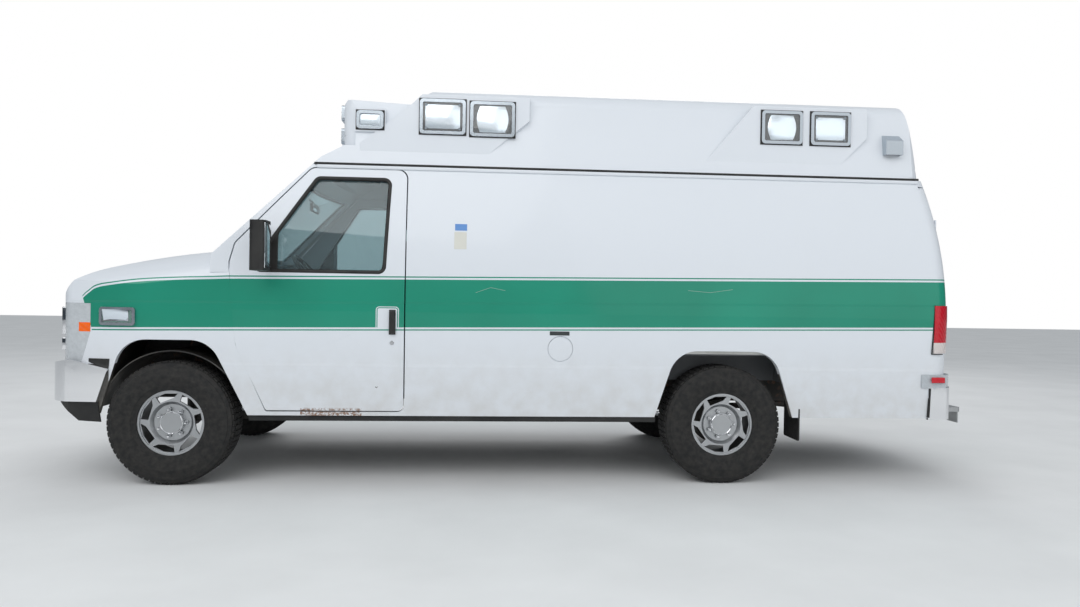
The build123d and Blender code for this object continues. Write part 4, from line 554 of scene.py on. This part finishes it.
def turned(name, profile, centre, axis, finish, body, steps=40, smooth=32):
    """A shape turned on an axis from a line of (along, radius) pairs."""
    axis, centre = Vector(axis), Vector(centre)
    out = axis.orthogonal().normalized()
    obj = line_through([centre + axis * along + out * radius for along, radius in profile])
    pick_all()
    bpy.ops.mesh.spin(steps=steps, angle=2 * pi, center=centre, axis=axis)
    pick_all()
    bpy.ops.mesh.remove_doubles(threshold=0.00005)
    return finished(obj, name, finish, body, smooth)


def button(name, centre, axis, radius, height, finish, body, dish=0.35):
    """A round head, rounded at its rim and dished a little in the middle."""
    floor_high = height * (1 - dish)
    profile = [(0, radius), (height * 0.7, radius), (height, radius * 0.86)]
    profile += [(height, radius * 0.5), (floor_high, radius * 0.42), (floor_high, 0)]
    turned(name, profile, centre, axis, finish, body, 28)


def tube(name, points, radius, finish, body="chassis"):
    """A round bar or hose through points."""
    rounded_line(line_through(points), name, radius, finish, body)


def rounded_line(obj, name, radius, finish, body):
    """Turns an open or closed line of edges into a round bar."""
    only(obj)
    bpy.ops.object.convert(target="CURVE")
    obj.data.bevel_depth = radius
    obj.data.bevel_resolution = 3
    obj.data.use_fill_caps = True
    bpy.ops.object.convert(target="MESH")
    finished(obj, name, finish, body, 50)


def copy_piece(obj, name, move, body):
    """A finished piece again, moved, with a mesh of its own."""
    only(obj)
    bpy.ops.object.duplicate()
    twin = bpy.context.object
    twin.name = name
    twin.data.name = name
    bpy.ops.transform.translate(value=move)
    bpy.ops.object.transform_apply()
    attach(twin, body)
    return twin


def window_rubber(name, glass, outward, radius, out, body):
    """A rubber bead round a pane: the border of its outer face, moved out and thickened."""
    mesh = nodes[glass].data.copy()
    mesh.transform(nodes[glass].matrix_world)
    ring = bpy.data.objects.new(name, mesh)
    bpy.context.scene.collection.objects.link(ring)
    edit(ring)
    bpy.ops.mesh.remove_doubles(threshold=0.0004)
    bpy.ops.mesh.select_mode(type="FACE")
    bpy.ops.mesh.select_all(action="DESELECT")
    bpy.ops.object.mode_set(mode="OBJECT")
    for face in mesh.polygons:
        face.select = face.normal.dot(Vector(outward)) < 0.6
    bpy.ops.object.mode_set(mode="EDIT")
    bpy.ops.mesh.delete(type="FACE")
    pick_all()
    bpy.ops.mesh.region_to_loop()
    bpy.ops.mesh.select_all(action="INVERT")
    bpy.ops.mesh.delete(type="EDGE")
    pick_all()
    bpy.ops.mesh.delete(type="ONLY_FACE")
    pick_all()
    bpy.ops.transform.translate(value=Vector(outward) * out)
    rounded_line(ring, name, radius, rubber, body)


def skin_at(node, start, towards):
    """Where a straight look from a point first meets a CAD node, or None."""
    obj = nodes[node]
    turn_back = obj.matrix_world.inverted()
    hit, spot, _, _ = obj.ray_cast(turn_back @ Vector(start), turn_back.to_3x3() @ Vector(towards))
    return obj.matrix_world @ spot if hit else None


def surface_z(x, y, node):
    """The height of a CAD node's top skin over a place."""
    spot = skin_at(node, (x, y, 4), (0, 0, -1))
    return spot.z if spot else None


def on_side(node, x, z, sign, out):
    """A point this far out from a CAD node's side skin, at a station and height in metres."""
    spot = skin_at(node, (x, sign * 3, z), (0, -sign, 0))
    return (x, spot.y + sign * out, z) if spot else (x, sign * (half_width(z) + out), z)


# The two sides, as name and sign, and the front doors with them
SIDES = (("left", -1), ("right", 1))
FRONT_DOORS = (("left", -1, "door_driver"), ("right", 1, "door_passenger"))
REAR_LEFT = "door_rear_left"

# Window rubbers, as wide as the black borders in the photo: name, pane, outward, radius, out, body
LEFT, RIGHT, REAR, SCREEN = (0, -1, 0), (0, 1, 0), (1, 0, 0), (-0.69, 0, 0.72)
WINDOWS = [
    ("driver_door_rubber", "driver_door_glass", LEFT, 0.013, 0.014, "door_driver"),
    ("passenger_door_rubber", "passenger_door_glass", RIGHT, 0.013, 0.014, "door_passenger"),
    ("side_front_rubber", "side_door_front_glass", RIGHT, 0.012, 0.014, "door_side_front"),
    ("side_rear_rubber", "side_door_rear_glass", RIGHT, 0.012, 0.014, "door_side_rear"),
    ("rear_left_rubber", "rear_door_left_glass", REAR, 0.012, 0.014, "door_rear_left"),
    ("rear_right_rubber", "rear_door_right_glass", REAR, 0.012, 0.014, "door_rear_right"),
    ("windscreen_rubber", "windscreen", SCREEN, 0.012, 0.004, "chassis"),
]
for window in WINDOWS:
    window_rubber(*window)

# Tyres: a turned carcass and five ribs of tread blocks, copied round
TREAD_RADIUS = 0.3868
TREAD_DEPTH = 0.008
TREAD_BLOCKS = 64
TYRE_CENTRES = [
    ("front_left", (FRONT_AXLE, -0.8815)),
    ("front_right", (FRONT_AXLE, 0.8815)),
    ("rear_left", (REAR_AXLE, -0.8535)),
    ("rear_right", (REAR_AXLE, 0.8535)),
]


# Half of the carcass's outline, as distance from its middle and radius
CARCASS = [(0.0, TREAD_RADIUS - TREAD_DEPTH), (0.088, TREAD_RADIUS - TREAD_DEPTH - 0.001)]
CARCASS += [(0.102, 0.374), (0.108, 0.366), (0.113, 0.352), (0.1165, 0.350), (0.1205, 0.325)]
CARCASS += [(0.1222, 0.302), (0.1235, 0.299), (0.1235, 0.291), (0.1222, 0.288), (0.1205, 0.268)]
CARCASS += [(0.114, 0.243), (0.112, 0.236), (0.110, 0.235), (0.104, 0.219), (0.101, 0.208)]
CARCASS += [(0.096, 0.2035), (0.060, 0.2035), (0.0, 0.2035)]
# Each rib's two edges across the tread, and the slant of its blocks
RIBS = [(-0.094, -0.062, 0.9), (-0.054, -0.021, -0.5), (-0.014, 0.014, 0.0)]
RIBS += [(0.021, 0.054, 0.5), (0.062, 0.094, -0.9)]
SUNK = 0.004


def tyre():
    """The first tyre, at the front left wheel."""
    x, y = TYRE_CENTRES[0][1]
    centre = Vector((x, y, AXLE_HIGH))
    body = "road_wheel_front_left"
    profile = CARCASS + [(-along, radius) for along, radius in reversed(CARCASS[1:-1])]
    profile.append(profile[0])
    carcass = turned("tyre_piece_front_left", profile, centre, (0, 1, 0), tyre_black, body, 96)
    pitch = 2 * pi * TREAD_RADIUS / TREAD_BLOCKS
    rows = []
    for low, high, slant in RIBS:
        start = centre + Vector((-pitch * 0.43, 0, TREAD_RADIUS - TREAD_DEPTH - SUNK))
        skew = slant * pitch * 0.25
        corners = [(0, low), (pitch * 0.8, low), (pitch * 0.8 + skew, high), (skew, high)]
        drop = 0.0016 if abs(low + high) > 0.14 else 0.0004
        points = [start + Vector((along, across, 0)) for along, across in corners]
        rows.append(filled(points, (0, 0, TREAD_DEPTH + SUNK - drop), 0.0012, 1))
        pick_all()
        bpy.ops.mesh.spin(dupli=True, steps=TREAD_BLOCKS, angle=2 * pi, center=centre,
                          axis=(0, 1, 0), use_auto_merge=False)
        pick_all()
        bpy.ops.mesh.remove_doubles(threshold=0.0001)
    only(*rows)
    bpy.ops.object.join()
    blocks = finished(bpy.context.object, "tread_front_left", tyre_black, body, 20)
    return carcass, blocks


carcass, blocks = tyre()
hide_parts("tyre_front_left")
for place, (x, y) in TYRE_CENTRES[1:]:
    body = "road_wheel_" + place
    move = (x - TYRE_CENTRES[0][1][0], y - TYRE_CENTRES[0][1][1], 0)
    twin = copy_piece(carcass, "tyre_piece_" + place, move, body)
    copy_piece(blocks, "tread_" + place, move, body)
    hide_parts("tyre_" + place)


# Chromed wheel nuts, seven round each cap, and a polished bead round the cap
NUT_CIRCLE = 0.085
NUT_COUNT = 7
NUT = [(0, 0.0105), (0.012, 0.0105), (0.017, 0.007), (0.0185, 0.0)]
BEAD = [(0.0, 0.068), (0.004, 0.0695), (0.006, 0.067), (0.004, 0.0645), (0.0, 0.0635), (0.0, 0.068)]
for place, (x, y) in TYRE_CENTRES:
    sign = -1 if y < 0 else 1
    face = abs(y) + 0.0765
    body = "road_wheel_" + place
    across = sign * (face - 0.004)
    start = Vector((x + NUT_CIRCLE, across, AXLE_HIGH))
    first = turned("wheel_nut_{}_0".format(place), NUT, start, (0, sign, 0), chrome, body, 6, 20)
    for index in range(1, NUT_COUNT):
        angle = 2 * pi * index / NUT_COUNT
        spot = (x + NUT_CIRCLE * cos(angle), across, AXLE_HIGH + NUT_CIRCLE * sin(angle))
        copy_piece(first, "wheel_nut_{}_{}".format(place, index), Vector(spot) - start, body)
    middle = (x, sign * (face + 0.0055), AXLE_HIGH)
    turned("wheel_cap_bead_" + place, BEAD, middle, (0, sign, 0), chrome, body, 48)


# Gutter seam and rail, and a black band under the sill, partly the pinch weld and frame and partly
# painted shade under the body: stations, distances out, heights, finish, edge
TRIM = [
    ("gutter_seam_", (843, 4835), (0.903, 0.9185), (2.029, 2.043), rubber, 0.003),
    ("gutter_rail_", (860, 4830), (0.904, 0.9215), (2.006, 2.028), plain_paint, 0.005),
    # The sill band: black pinch weld and frame, and painted shade under the body
    ("sill_weld_and_shade_band_", (470, 3055), (0.948, 0.970), (0.404, 0.441), black_abs, 0.004),
]
for side, sign in SIDES:
    for name, (front, rear), out, z, finish, edge in TRIM:
        side_block(name + side, sign, (ax(front), ax(rear)), out, z, finish, edge=edge)


# Inner wing aprons that close off the engine from the front wheels
APRON = [(-2.900, 0.60), (-1.960, 0.60), (-1.960, 0.86)]
APRON += [(-2.060, 1.02), (-2.420, 1.07), (-2.900, 1.02)]
for side, sign in SIDES:
    corners = [(x, sign * 0.530, z) for x, z in APRON]
    panel("wing_apron_" + side, corners, sign * 0.004, enamel, 0.001)


# Sheet arches over the front wheels, from the aprons out to the wings
ARCH = [(-400, 0.620), (-318, 0.880), (-300, 0.908), (-262, 0.926), (-200, 0.930)]
ARCH += [(150, 0.930), (205, 0.926), (243, 0.908), (264, 0.880), (397, 0.620)]
for side, sign in SIDES:
    rim = [(ax(x), z) for x, z in ARCH]
    rim += [(ax(x * 0.987), z - 0.004) for x, z in reversed(ARCH)]
    low, high = sorted((sign * 0.5345, sign * 0.955))
    finished(slab(rim, low, high, 0.0008), "wing_arch_" + side, enamel, "chassis")


# Door furniture: pulls, locks and hinges
PULL_Z, PULL_TALL, LOCK_Z = 1.034, 0.145, 0.903


def side_pull(name, x, lock_x, sign, body):
    """A shallow cup, an upright bar that stands off it, and a plated lock below, on a side door."""
    skin = half_width(PULL_Z)
    low, high = PULL_Z - PULL_TALL / 2, PULL_Z + PULL_TALL / 2
    across, out = (x - 0.021, x + 0.021), (skin - 0.002, skin + 0.004)
    cup = name + "_pull_cup"
    side_block(cup, sign, across, out, (low - 0.006, high + 0.006), rubber, body, 0.0025)
    across, out = (x - 0.017, x + 0.017), (skin + 0.003, skin + 0.024)
    side_block(name + "_pull", sign, across, out, (low, high), black_abs, body, 0.008, 5)
    centre = (lock_x, sign * (half_width(LOCK_Z) - 0.001), LOCK_Z)
    button(name + "_lock", centre, (0, sign, 0), 0.013, 0.006, chrome, body)


side_pull("driver", ax(1356), ax(1354), -1, "door_driver")
side_pull("passenger", ax(1356), ax(1354), 1, "door_passenger")
side_pull("side_door", ax(2068), ax(2068), 1, "door_side_front")
for index, z in enumerate((0.66, 1.22, 1.82)):
    skin = half_width(z)
    for side, x in (("front", -0.744), ("rear", 0.452)):
        name = "side_hinge_{}_{}".format(side, index)
        out, high = (skin - 0.004, skin + 0.006), (z - 0.045, z + 0.045)
        side_block(name, 1, (x - 0.018, x + 0.018), out, high, plain_paint)
low, high = (2.798, -0.112, 1.01), (2.804, -0.053, 1.185)
block("rear_door_pull_cup", low, high, rubber, REAR_LEFT, 0.002)
low, high = (2.799, -0.105, 1.02), (2.826, -0.060, 1.175)
block("rear_door_pull", low, high, black_abs, REAR_LEFT, 0.009, 5)
button("rear_door_lock", (2.799, -0.082, 0.95), REAR, 0.013, 0.006, chrome, REAR_LEFT)


# Roof and wing lights: a black gasket round each bezel, a silvered reflector behind each lens
ROOF_LIGHTS = [
    (1.101, 1.272, 2.265, 2.382, "small"),
    (1.501, 1.795, 2.245, 2.470, "screwed"),
    (1.824, 2.113, 2.238, 2.464, "barrel"),
    (3.752, 4.030, 2.250, 2.470, "barrel"),
    (4.088, 4.361, 2.250, 2.471, "screwed"),
]
# How far each kind's reflector lies in from its bezel, along and up, and how its ends bow
REFLECTOR_INSET = {
    "small": (0.020, 0.020, 0.0),
    "screwed": (0.034, 0.034, 0.0),
    "barrel": (0.062, 0.026, 0.022),
}


def rectangle(x0, x1, z0, z1, y, bow=0.0):
    """A rectangle's corners on an upright plane, its upright sides bowed out by arcs if asked."""
    turns = 6 if bow else 1
    steps = [(bow * sin(pi * i / turns), (z1 - z0) * i / turns) for i in range(turns + 1)]
    right = [(x1 + out, z0 + rise) for out, rise in steps]
    left = [(x0 - out, z1 - rise) for out, rise in steps]
    return [(FRONT_AXLE + x, y, z) for x, z in right + left]


GASKET = 0.006
for index, (x0, x1, z0, z1, kind) in enumerate(ROOF_LIGHTS):
    for side, sign in SIDES:
        tag = "{}_{}".format(index, side)
        corners = rectangle(x0 - GASKET, x1 + GASKET, z0 - GASKET, z1 + GASKET, sign * 0.8925)
        panel("roof_gasket_" + tag, corners, sign * 0.004, rubber, 0.0012)
        in_x, in_z, bow = REFLECTOR_INSET[kind]
        across = sign * 0.8938
        corners = rectangle(x0 + in_x, x1 - in_x, z0 + in_z, z1 - in_z, across, bow)
        panel("roof_reflector_" + tag, corners, sign * 0.0055, silvered, 0.003, 3)
        if kind == "screwed":
            left, right, low, high = x0 + 0.040, x1 - 0.040, z0 + 0.036, z1 - 0.036
            spots = ((left, low), (right, low), (right, high), (left, high))
            for spot, (x, z) in enumerate(spots):
                name = "roof_screw_{}_{}".format(tag, spot)
                centre = (FRONT_AXLE + x, sign * 0.9025, z)
                button(name, centre, (0, sign, 0), 0.008, 0.004, lamp_grey, "chassis")


# Wing lights: a silvered reflector just inside each lens
for side, sign in SIDES:
    inner = [(-2.650, 1.018), (-2.494, 1.018), (-2.494, 1.092), (-2.650, 1.092)]
    corners = [on_side("light_lenses", x, z, sign, -0.0045) for x, z in inner]
    panel("wing_reflector_" + side, corners, sign * 0.003, silvered, 0.0012)


def film(name, x0, x1, z0, z1, finish):
    """A thin film laid on the curved left side."""
    low, high = -half_width(z0), -half_width(z1)
    corners = [(ax(x0), low, z0), (ax(x1), low, z0), (ax(x1), high, z1), (ax(x0), high, z1)]
    panel(name, corners, -0.0012, finish, 0.0003, 1)


# A blank notice, a blank label over the fuel door, a pit rusted through the door's foot, scratches
film("notice_lower", 1736, 1814, 1.503, 1.612, notice_white)
film("notice_upper", 1740, 1816, 1.622, 1.664, notice_blue)
film("fuel_label", 2353, 2480, 0.963, 0.989, label_dark)
pit = (ax(1261), -(half_width(0.624) - 0.0015), 0.624)
button("rust_pit", pit, LEFT, 0.008, 0.002, cast, "door_driver", 0.9)
for name, marks in (
    ("scratch_front", [(1877, 1.227), (1971, 1.261), (2065, 1.243)]),
    ("scratch_rear", [(3249, 1.263), (3392, 1.252), (3543, 1.274)]),
):
    corners = [(ax(x), -half_width(z), z) for x, z in marks]
    corners += [(ax(x), -half_width(z + 0.0025), z + 0.0025) for x, z in reversed(marks)]
    panel(name, corners, -0.0006, scratched, 0.0001, 1)

# Red side markers, rubber edges of the tail lamps, shut lines ahead of the bumper's caps, and a
# black strip at the foot of each wing, painted shadow of the gap above the bumper
LAMP_EDGE = [(4919, 1.194), (4913, 1.194), (4897, 0.866)]
LAMP_EDGE += [(4975, 0.866), (4975, 0.871), (4904, 0.871)]
CAP_GAP = [(4893, 0.640), (4905, 0.640), (4898, 0.446), (4884, 0.446)]
WING_SHADOW_STRIP = [(-505, 0.784), (-460, 0.784), (-400, 0.784), (-368, 0.784)]
WING_SHADOW_STRIP += [(-374, 0.716), (-400, 0.724), (-460, 0.744), (-505, 0.762)]
for side, sign in SIDES:
    marker = (ax(4897), ax(4989)), (1.0135, 1.0185), (0.679, 0.716)
    side_block("side_marker_" + side, sign, *marker, marker_red, edge=0.0025)
    corners = [(ax(x), sign * 1.0035, z) for x, z in LAMP_EDGE]
    panel("tail_lamp_gasket_" + side, corners, sign * 0.006, rubber, 0.001)
    corners = [(ax(x), sign * 0.9835, z) for x, z in CAP_GAP]
    panel("bumper_shut_line_" + side, corners, sign * 0.0165, rubber, 0.001)
    # A black strip at the wing's foot, painted shadow of the gap above the bumper
    corners = [on_side("front_wings", ax(x), z, sign, 0.001) for x, z in WING_SHADOW_STRIP]
    panel("wing_shadow_strip_" + side, corners, sign * 0.003, black_abs, 0.0008)

# Headlamps: a sealed beam in a plated frame each side, over a turn lamp.
# Each row is name, x, distances out, heights, finish, edge and its segments
NOSE_LAMPS = [
    ("headlamp_frame_", (-2.9615, -2.930), (0.600, 0.848), (0.925, 1.100), chrome, 0.007, 4),
    ("headlamp_gasket_", (-2.9635, -2.950), (0.617, 0.831), (0.939, 1.086), rubber, 0.005, 3),
    ("headlamp_beam_", (-2.9680, -2.952), (0.623, 0.825), (0.944, 1.081), silvered, 0.006, 4),
    ("turn_lamp_frame_", (-2.9610, -2.930), (0.600, 0.848), (0.825, 0.905), chrome, 0.006, 4),
    ("turn_lamp_", (-2.9650, -2.940), (0.610, 0.838), (0.834, 0.896), turn_amber, 0.006, 4),
]
for side, sign in SIDES:
    for name, x, out, z, finish, edge, segments in NOSE_LAMPS:
        side_block(name + side, sign, x, out, z, finish, "chassis", edge, segments)
    for index in range(9):
        y = sign * (0.640 + 0.021 * index)
        name = "headlamp_flute_{}_{}".format(side, index)
        tube(name, [(-2.9675, y, 0.955), (-2.9675, y, 1.070)], 0.0022, lamp_glass)

# A rubber seal down the meeting edge of the rear doors
seal = [(2.792, 0.752), (2.792, 1.200), (2.774, 1.450)]
seal += [(2.753, 1.600), (2.713, 1.800), (2.674, 1.975)]
seal += [(x - 0.018, z) for x, z in reversed(seal)]
finished(slab(seal, -0.0078, 0.0045, 0.001), "rear_door_seal", rubber, REAR_LEFT)

# Rear doors: three hinges each, and a screwed kick plate under them
for side, sign in SIDES:
    for index, (z, x) in enumerate(((0.86, 2.799), (1.26, 2.793), (1.74, 2.730))):
        name = "rear_hinge_{}_{}".format(side, index)
        along, high = (x - 0.004, x + 0.005), (z - 0.030, z + 0.030)
        side_block(name, sign, along, (0.835, 0.893), high, plain_paint, "door_rear_" + side, 0.002)
block("rear_kick_plate", (2.7985, -0.900, 0.505), (2.8025, 0.900, 0.735), tread_plate,
      "chassis", 0.0015)
for index, y in enumerate((-0.84, -0.42, 0.0, 0.42, 0.84)):
    for row, z in enumerate((0.53, 0.71)):
        name = "kick_screw_{}_{}".format(index, row)
        button(name, (2.8023, y, z), REAR, 0.007, 0.003, lamp_grey, "chassis")

# Cab doors: a card with an armrest and a pocket, and the silvered glass of the outer mirror
MIRROR_X = (ax(622.5), ax(626.5))
DOOR_TRIM = [
    ("door_card_", (-1.44, -0.94), (0.851, 0.838), (0.60, 1.27), grey_trim, 0.006, 3),
    ("door_armrest_", (-1.40, -1.06), (0.840, 0.812), (1.02, 1.07), grey_trim, 0.010, 4),
    ("door_pocket_", (-1.42, -0.98), (0.840, 0.820), (0.64, 0.78), grey_trim, 0.008, 4),
    ("mirror_glass_", MIRROR_X, (1.099, 1.238), (1.355, 1.625), mirror_glass, 0.0015, 3),
]
for side, sign, body in FRONT_DOORS:
    for name, x, out, z, finish, edge, segments in DOOR_TRIM:
        side_block(name + side, sign, x, out, z, finish, body, edge, segments)

# The mirror inside, on its stalk
block("inner_mirror", (ax(655), -0.125, 1.806), (ax(680), 0.125, 1.870), black_abs, "chassis",
      0.008, 4)
block("inner_mirror_glass", (ax(679), -0.117, 1.813), (ax(681.5), 0.117, 1.863), mirror_glass,
      "chassis", 0.001)
stalk = [(ax(662), 0, 1.866), (ax(655), 0, 1.885), (ax(625), 0, 1.902)]
tube("inner_mirror_stalk", stalk, 0.006, black_abs)


# Wipers, laid along the foot of the windscreen
def on_screen(x, y, off):
    """A point this far over the windscreen or the cowl."""
    z = surface_z(x, y, "windscreen") or surface_z(x, y, "cab_front") or 1.455
    return Vector((x - off * 0.69, y, z + off * 0.72))


WIPERS = [
    ("left", (-2.055, -0.66), (-2.035, -0.05)),
    ("right", (-2.060, 0.02), (-2.040, 0.62)),
]
for side, start, end in WIPERS:
    blade = []
    for step in range(7):
        share = step / 6
        x = start[0] + (end[0] - start[0]) * share + 0.028 * sin(pi * share) * 0.3
        y = start[1] + (end[1] - start[1]) * share
        while surface_z(x, y, "windscreen") is None and x < -1.9:
            x += 0.01
        blade.append(on_screen(x + 0.012, y, 0.008))
    tube("wiper_blade_" + side, blade, 0.006, rubber)
    middle = blade[3] + Vector((-0.006, 0, 0.008))
    root = Vector((-2.150, end[1] + 0.02, 1.470))
    bend = (root + middle) / 2 + Vector((-0.014, 0.10, 0.012))
    tube("wiper_arm_" + side, [root, bend, middle], 0.0055, black_abs)
    foot = root - Vector((0, 0, 0.020))
    button("wiper_pivot_" + side, foot, (0, 0, 1), 0.016, 0.024, black_abs, "chassis")


# Plates, blank: front on the bumper, rear on the left rear door under its lamp
block("front_plate", (-3.0125, -0.152, 0.572), (-3.0085, 0.152, 0.722), plate_face, "chassis",
      0.0012)
block("rear_plate", (2.7995, -0.485, 0.80), (2.8035, -0.181, 0.95), plate_face, REAR_LEFT, 0.0012)
block("rear_plate_lamp", (2.799, -0.40, 0.956), (2.822, -0.266, 0.976), black_abs, REAR_LEFT)


# Seats: stuffed cushions, backs and headrests on boxed pedestals
CLOTH_FRAMES = 20
MOST_PUFF = 0.012


def stuffed(piece, name, voxel):
    """Puffs a cut shape out like a filled vinyl cover, by no more than 12 mm, then smooths it."""
    only(piece)
    cover = piece.modifiers.new("cover", "REMESH")
    cover.mode = "VOXEL"
    cover.voxel_size = voxel
    bpy.ops.object.modifier_apply(modifier="cover")
    rest = [vertex.co.copy() for vertex in piece.data.vertices]
    cloth = piece.modifiers.new("fill", "CLOTH")
    cloth.settings.quality = 4
    cloth.settings.use_pressure = True
    cloth.settings.uniform_pressure_force = 4.0
    cloth.settings.effector_weights.gravity = 0.0
    cloth.settings.tension_stiffness = 25
    cloth.settings.compression_stiffness = 25
    cloth.point_cache.frame_start = 1
    cloth.point_cache.frame_end = CLOTH_FRAMES
    for number in range(1, CLOTH_FRAMES + 1):
        bpy.context.scene.frame_set(number)
    bpy.ops.object.modifier_apply(modifier="fill")
    bpy.context.scene.frame_set(1)
    for vertex, start in zip(piece.data.vertices, rest):
        move = vertex.co - start
        if move.length > MOST_PUFF:
            vertex.co = start + move * (MOST_PUFF / move.length)
    smooth = piece.modifiers.new("smooth", "SUBSURF")
    smooth.levels = 1
    bpy.ops.object.modifier_apply(modifier="smooth")
    made = finished(piece, name, vinyl, "chassis", 60)
    return made


SEAT_X = ax(760)
# Each part's side shape behind the seat's front, its half width and its rounding
BACK = [(0.428, 1.045), (0.553, 1.600), (0.642, 1.592), (0.555, 0.960), (0.470, 0.960)]
SEAT_PARTS = [
    ("cushion", [(0.0, 0.945), (0.0, 1.035), (0.430, 1.025), (0.420, 0.945)], 0.225, 0.022),
    ("back", BACK, 0.225, 0.022),
    ("headrest", [(0.560, 1.650), (0.572, 1.812), (0.636, 1.812), (0.645, 1.655)], 0.125, 0.018),
]
PEDESTAL = [(0.060, 0.692), (0.090, 0.944), (0.430, 0.944), (0.460, 0.692)]
for side, sign in SIDES:
    centre = sign * 0.580
    for part, points, half, edge in SEAT_PARTS:
        shape = slab([(SEAT_X + x, z) for x, z in points], centre - half, centre + half, edge)
        piece = stuffed(shape, "seat_{}_{}".format(part, side), 0.010)
        if part == "cushion":
            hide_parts("cab_seats")
    shape = slab([(SEAT_X + x, z) for x, z in PEDESTAL], centre - 0.19, centre + 0.19, 0.006)
    finished(shape, "seat_box_" + side, black_abs, "chassis")
    for post, off in enumerate((-0.06, 0.06)):
        ends = [(SEAT_X + 0.600, centre + off, 1.575), (SEAT_X + 0.607, centre + off, 1.665)]
        tube("headrest_post_{}_{}".format(side, post), ends, 0.006, chrome)

# Bench cushions, three in a row with 12 mm between them
BENCH_FRONT, BENCH_REAR = ax(2764), ax(4636)
BENCH_NEAR, BENCH_FAR = 0.414, 0.911
BENCH_LOW, BENCH_HIGH = 1.092, 1.168
span = (BENCH_REAR - BENCH_FRONT) / 3
for index in range(3):
    x0 = BENCH_FRONT + span * index + 0.006
    x1 = x0 + span - 0.012
    points = [(x0, BENCH_LOW), (x0, BENCH_HIGH), (x1, BENCH_HIGH), (x1, BENCH_LOW)]
    shape = slab(points, BENCH_NEAR, BENCH_FAR, 0.018)
    piece = stuffed(shape, "bench_pad_{}".format(index), 0.012)
    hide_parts("bench_cushions")

# Brake cable slung under the floor, drawn as a hanging curve
CABLE = [(2190, -0.455, 0.4847), (2190, -0.455, 0.440), (2300, -0.470, 0.395)]
CABLE += [(2440, -0.500, 0.372), (2590, -0.520, 0.366), (2740, -0.540, 0.372)]
CABLE += [(2880, -0.560, 0.388), (3000, -0.575, 0.412), (3060, -0.580, 0.470)]
CABLE += [(3060, -0.580, 0.655)]
route = bpy.data.curves.new("parking_brake_cable", "CURVE")
route.dimensions = "3D"
spline = route.splines.new("NURBS")
spline.points.add(len(CABLE) - 1)
for point, (x, y, z) in zip(spline.points, CABLE):
    point.co = (ax(x), y, z, 1.0)
spline.order_u = 3
spline.use_endpoint_u = True
spline.resolution_u = 8
route.bevel_depth = 0.007
route.bevel_resolution = 3
route.use_fill_caps = True
cable = bpy.data.objects.new("parking_brake_cable", route)
bpy.context.scene.collection.objects.link(cable)
cable.data.materials.append(rubber)
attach(cable, "chassis")
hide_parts("brake_cable")


# Studio: a pale floor, a white backdrop from the world, and soft light from above
def backdrop_world():
    """White to the camera, a soft pale sky to the surfaces."""
    world = bpy.context.scene.world or bpy.data.worlds.new("studio")
    bpy.context.scene.world = world
    world.use_nodes = True
    tree = world.node_tree
    tree.nodes.clear()
    path = add_node(tree, "LightPath").outputs
    seen = calc(tree, "MAXIMUM", path["Is Camera Ray"], path["Is Transmission Ray"])
    point = add_node(tree, "TexCoord").outputs["Generated"]
    height = split_point(tree, point)[2]
    share = band(tree, height, -0.1, 0.9)
    sky = blend_colours(tree, share, "#c9ced3", "#f2f6fa")
    # Shiny surfaces see a dark studio wall at the horizon, which gives plated parts contrast
    wall = calc(tree, "MULTIPLY", band(tree, height, 0.10, 0.34, 1.0, 0.0), path["Is Glossy Ray"])
    sky = blend_colours(tree, wall, sky, "#4b545c")
    soft = add_node(tree, "Background", {0: sky, 1: 0.62}).outputs[0]
    white = add_node(tree, "Background", {0: (1, 1, 1, 1), 1: 1.0}).outputs[0]
    mix = add_node(tree, "MixShader", {0: seen, 1: soft, 2: white}).outputs[0]
    add_node(tree, "OutputWorld", {0: mix})


backdrop_world()
pick_none()
bpy.ops.mesh.primitive_plane_add(size=60)
floor = bpy.context.object
floor.name = "studio_floor"
floor_mat, tree, shader, point = new_material("pale studio floor", "#eaebeb", Roughness=0.85)
share = band(tree, noise(tree, point, 1.2, 4.0), 0.3, 0.7)
tone = blend_colours(tree, share, "#e6e7e7", "#eeefef")
tree.links.new(tone, shader.inputs["Base Color"])
floor.data.materials.append(floor_mat)


MIDDLE = Vector((0, 0, 1.2))


def lamp(name, place, size, power):
    """A soft rectangular lamp at a place, facing the vehicle's middle."""
    light = bpy.data.objects.new(name, bpy.data.lights.new(name, "AREA"))
    bpy.context.scene.collection.objects.link(light)
    light.data.shape = "RECTANGLE"
    light.data.size, light.data.size_y = size
    light.data.energy = power
    light.location = place
    aim = MIDDLE - Vector(place)
    light.rotation_euler = aim.to_track_quat("-Z", "Y").to_euler()


lamp("key", (-4.0, -8.0, 7.0), (11.0, 6.0), 430)
lamp("fill", (5.0, -7.0, 3.5), (9.0, 6.0), 130)
lamp("far", (1.0, 8.0, 6.0), (8.0, 4.0), 260)
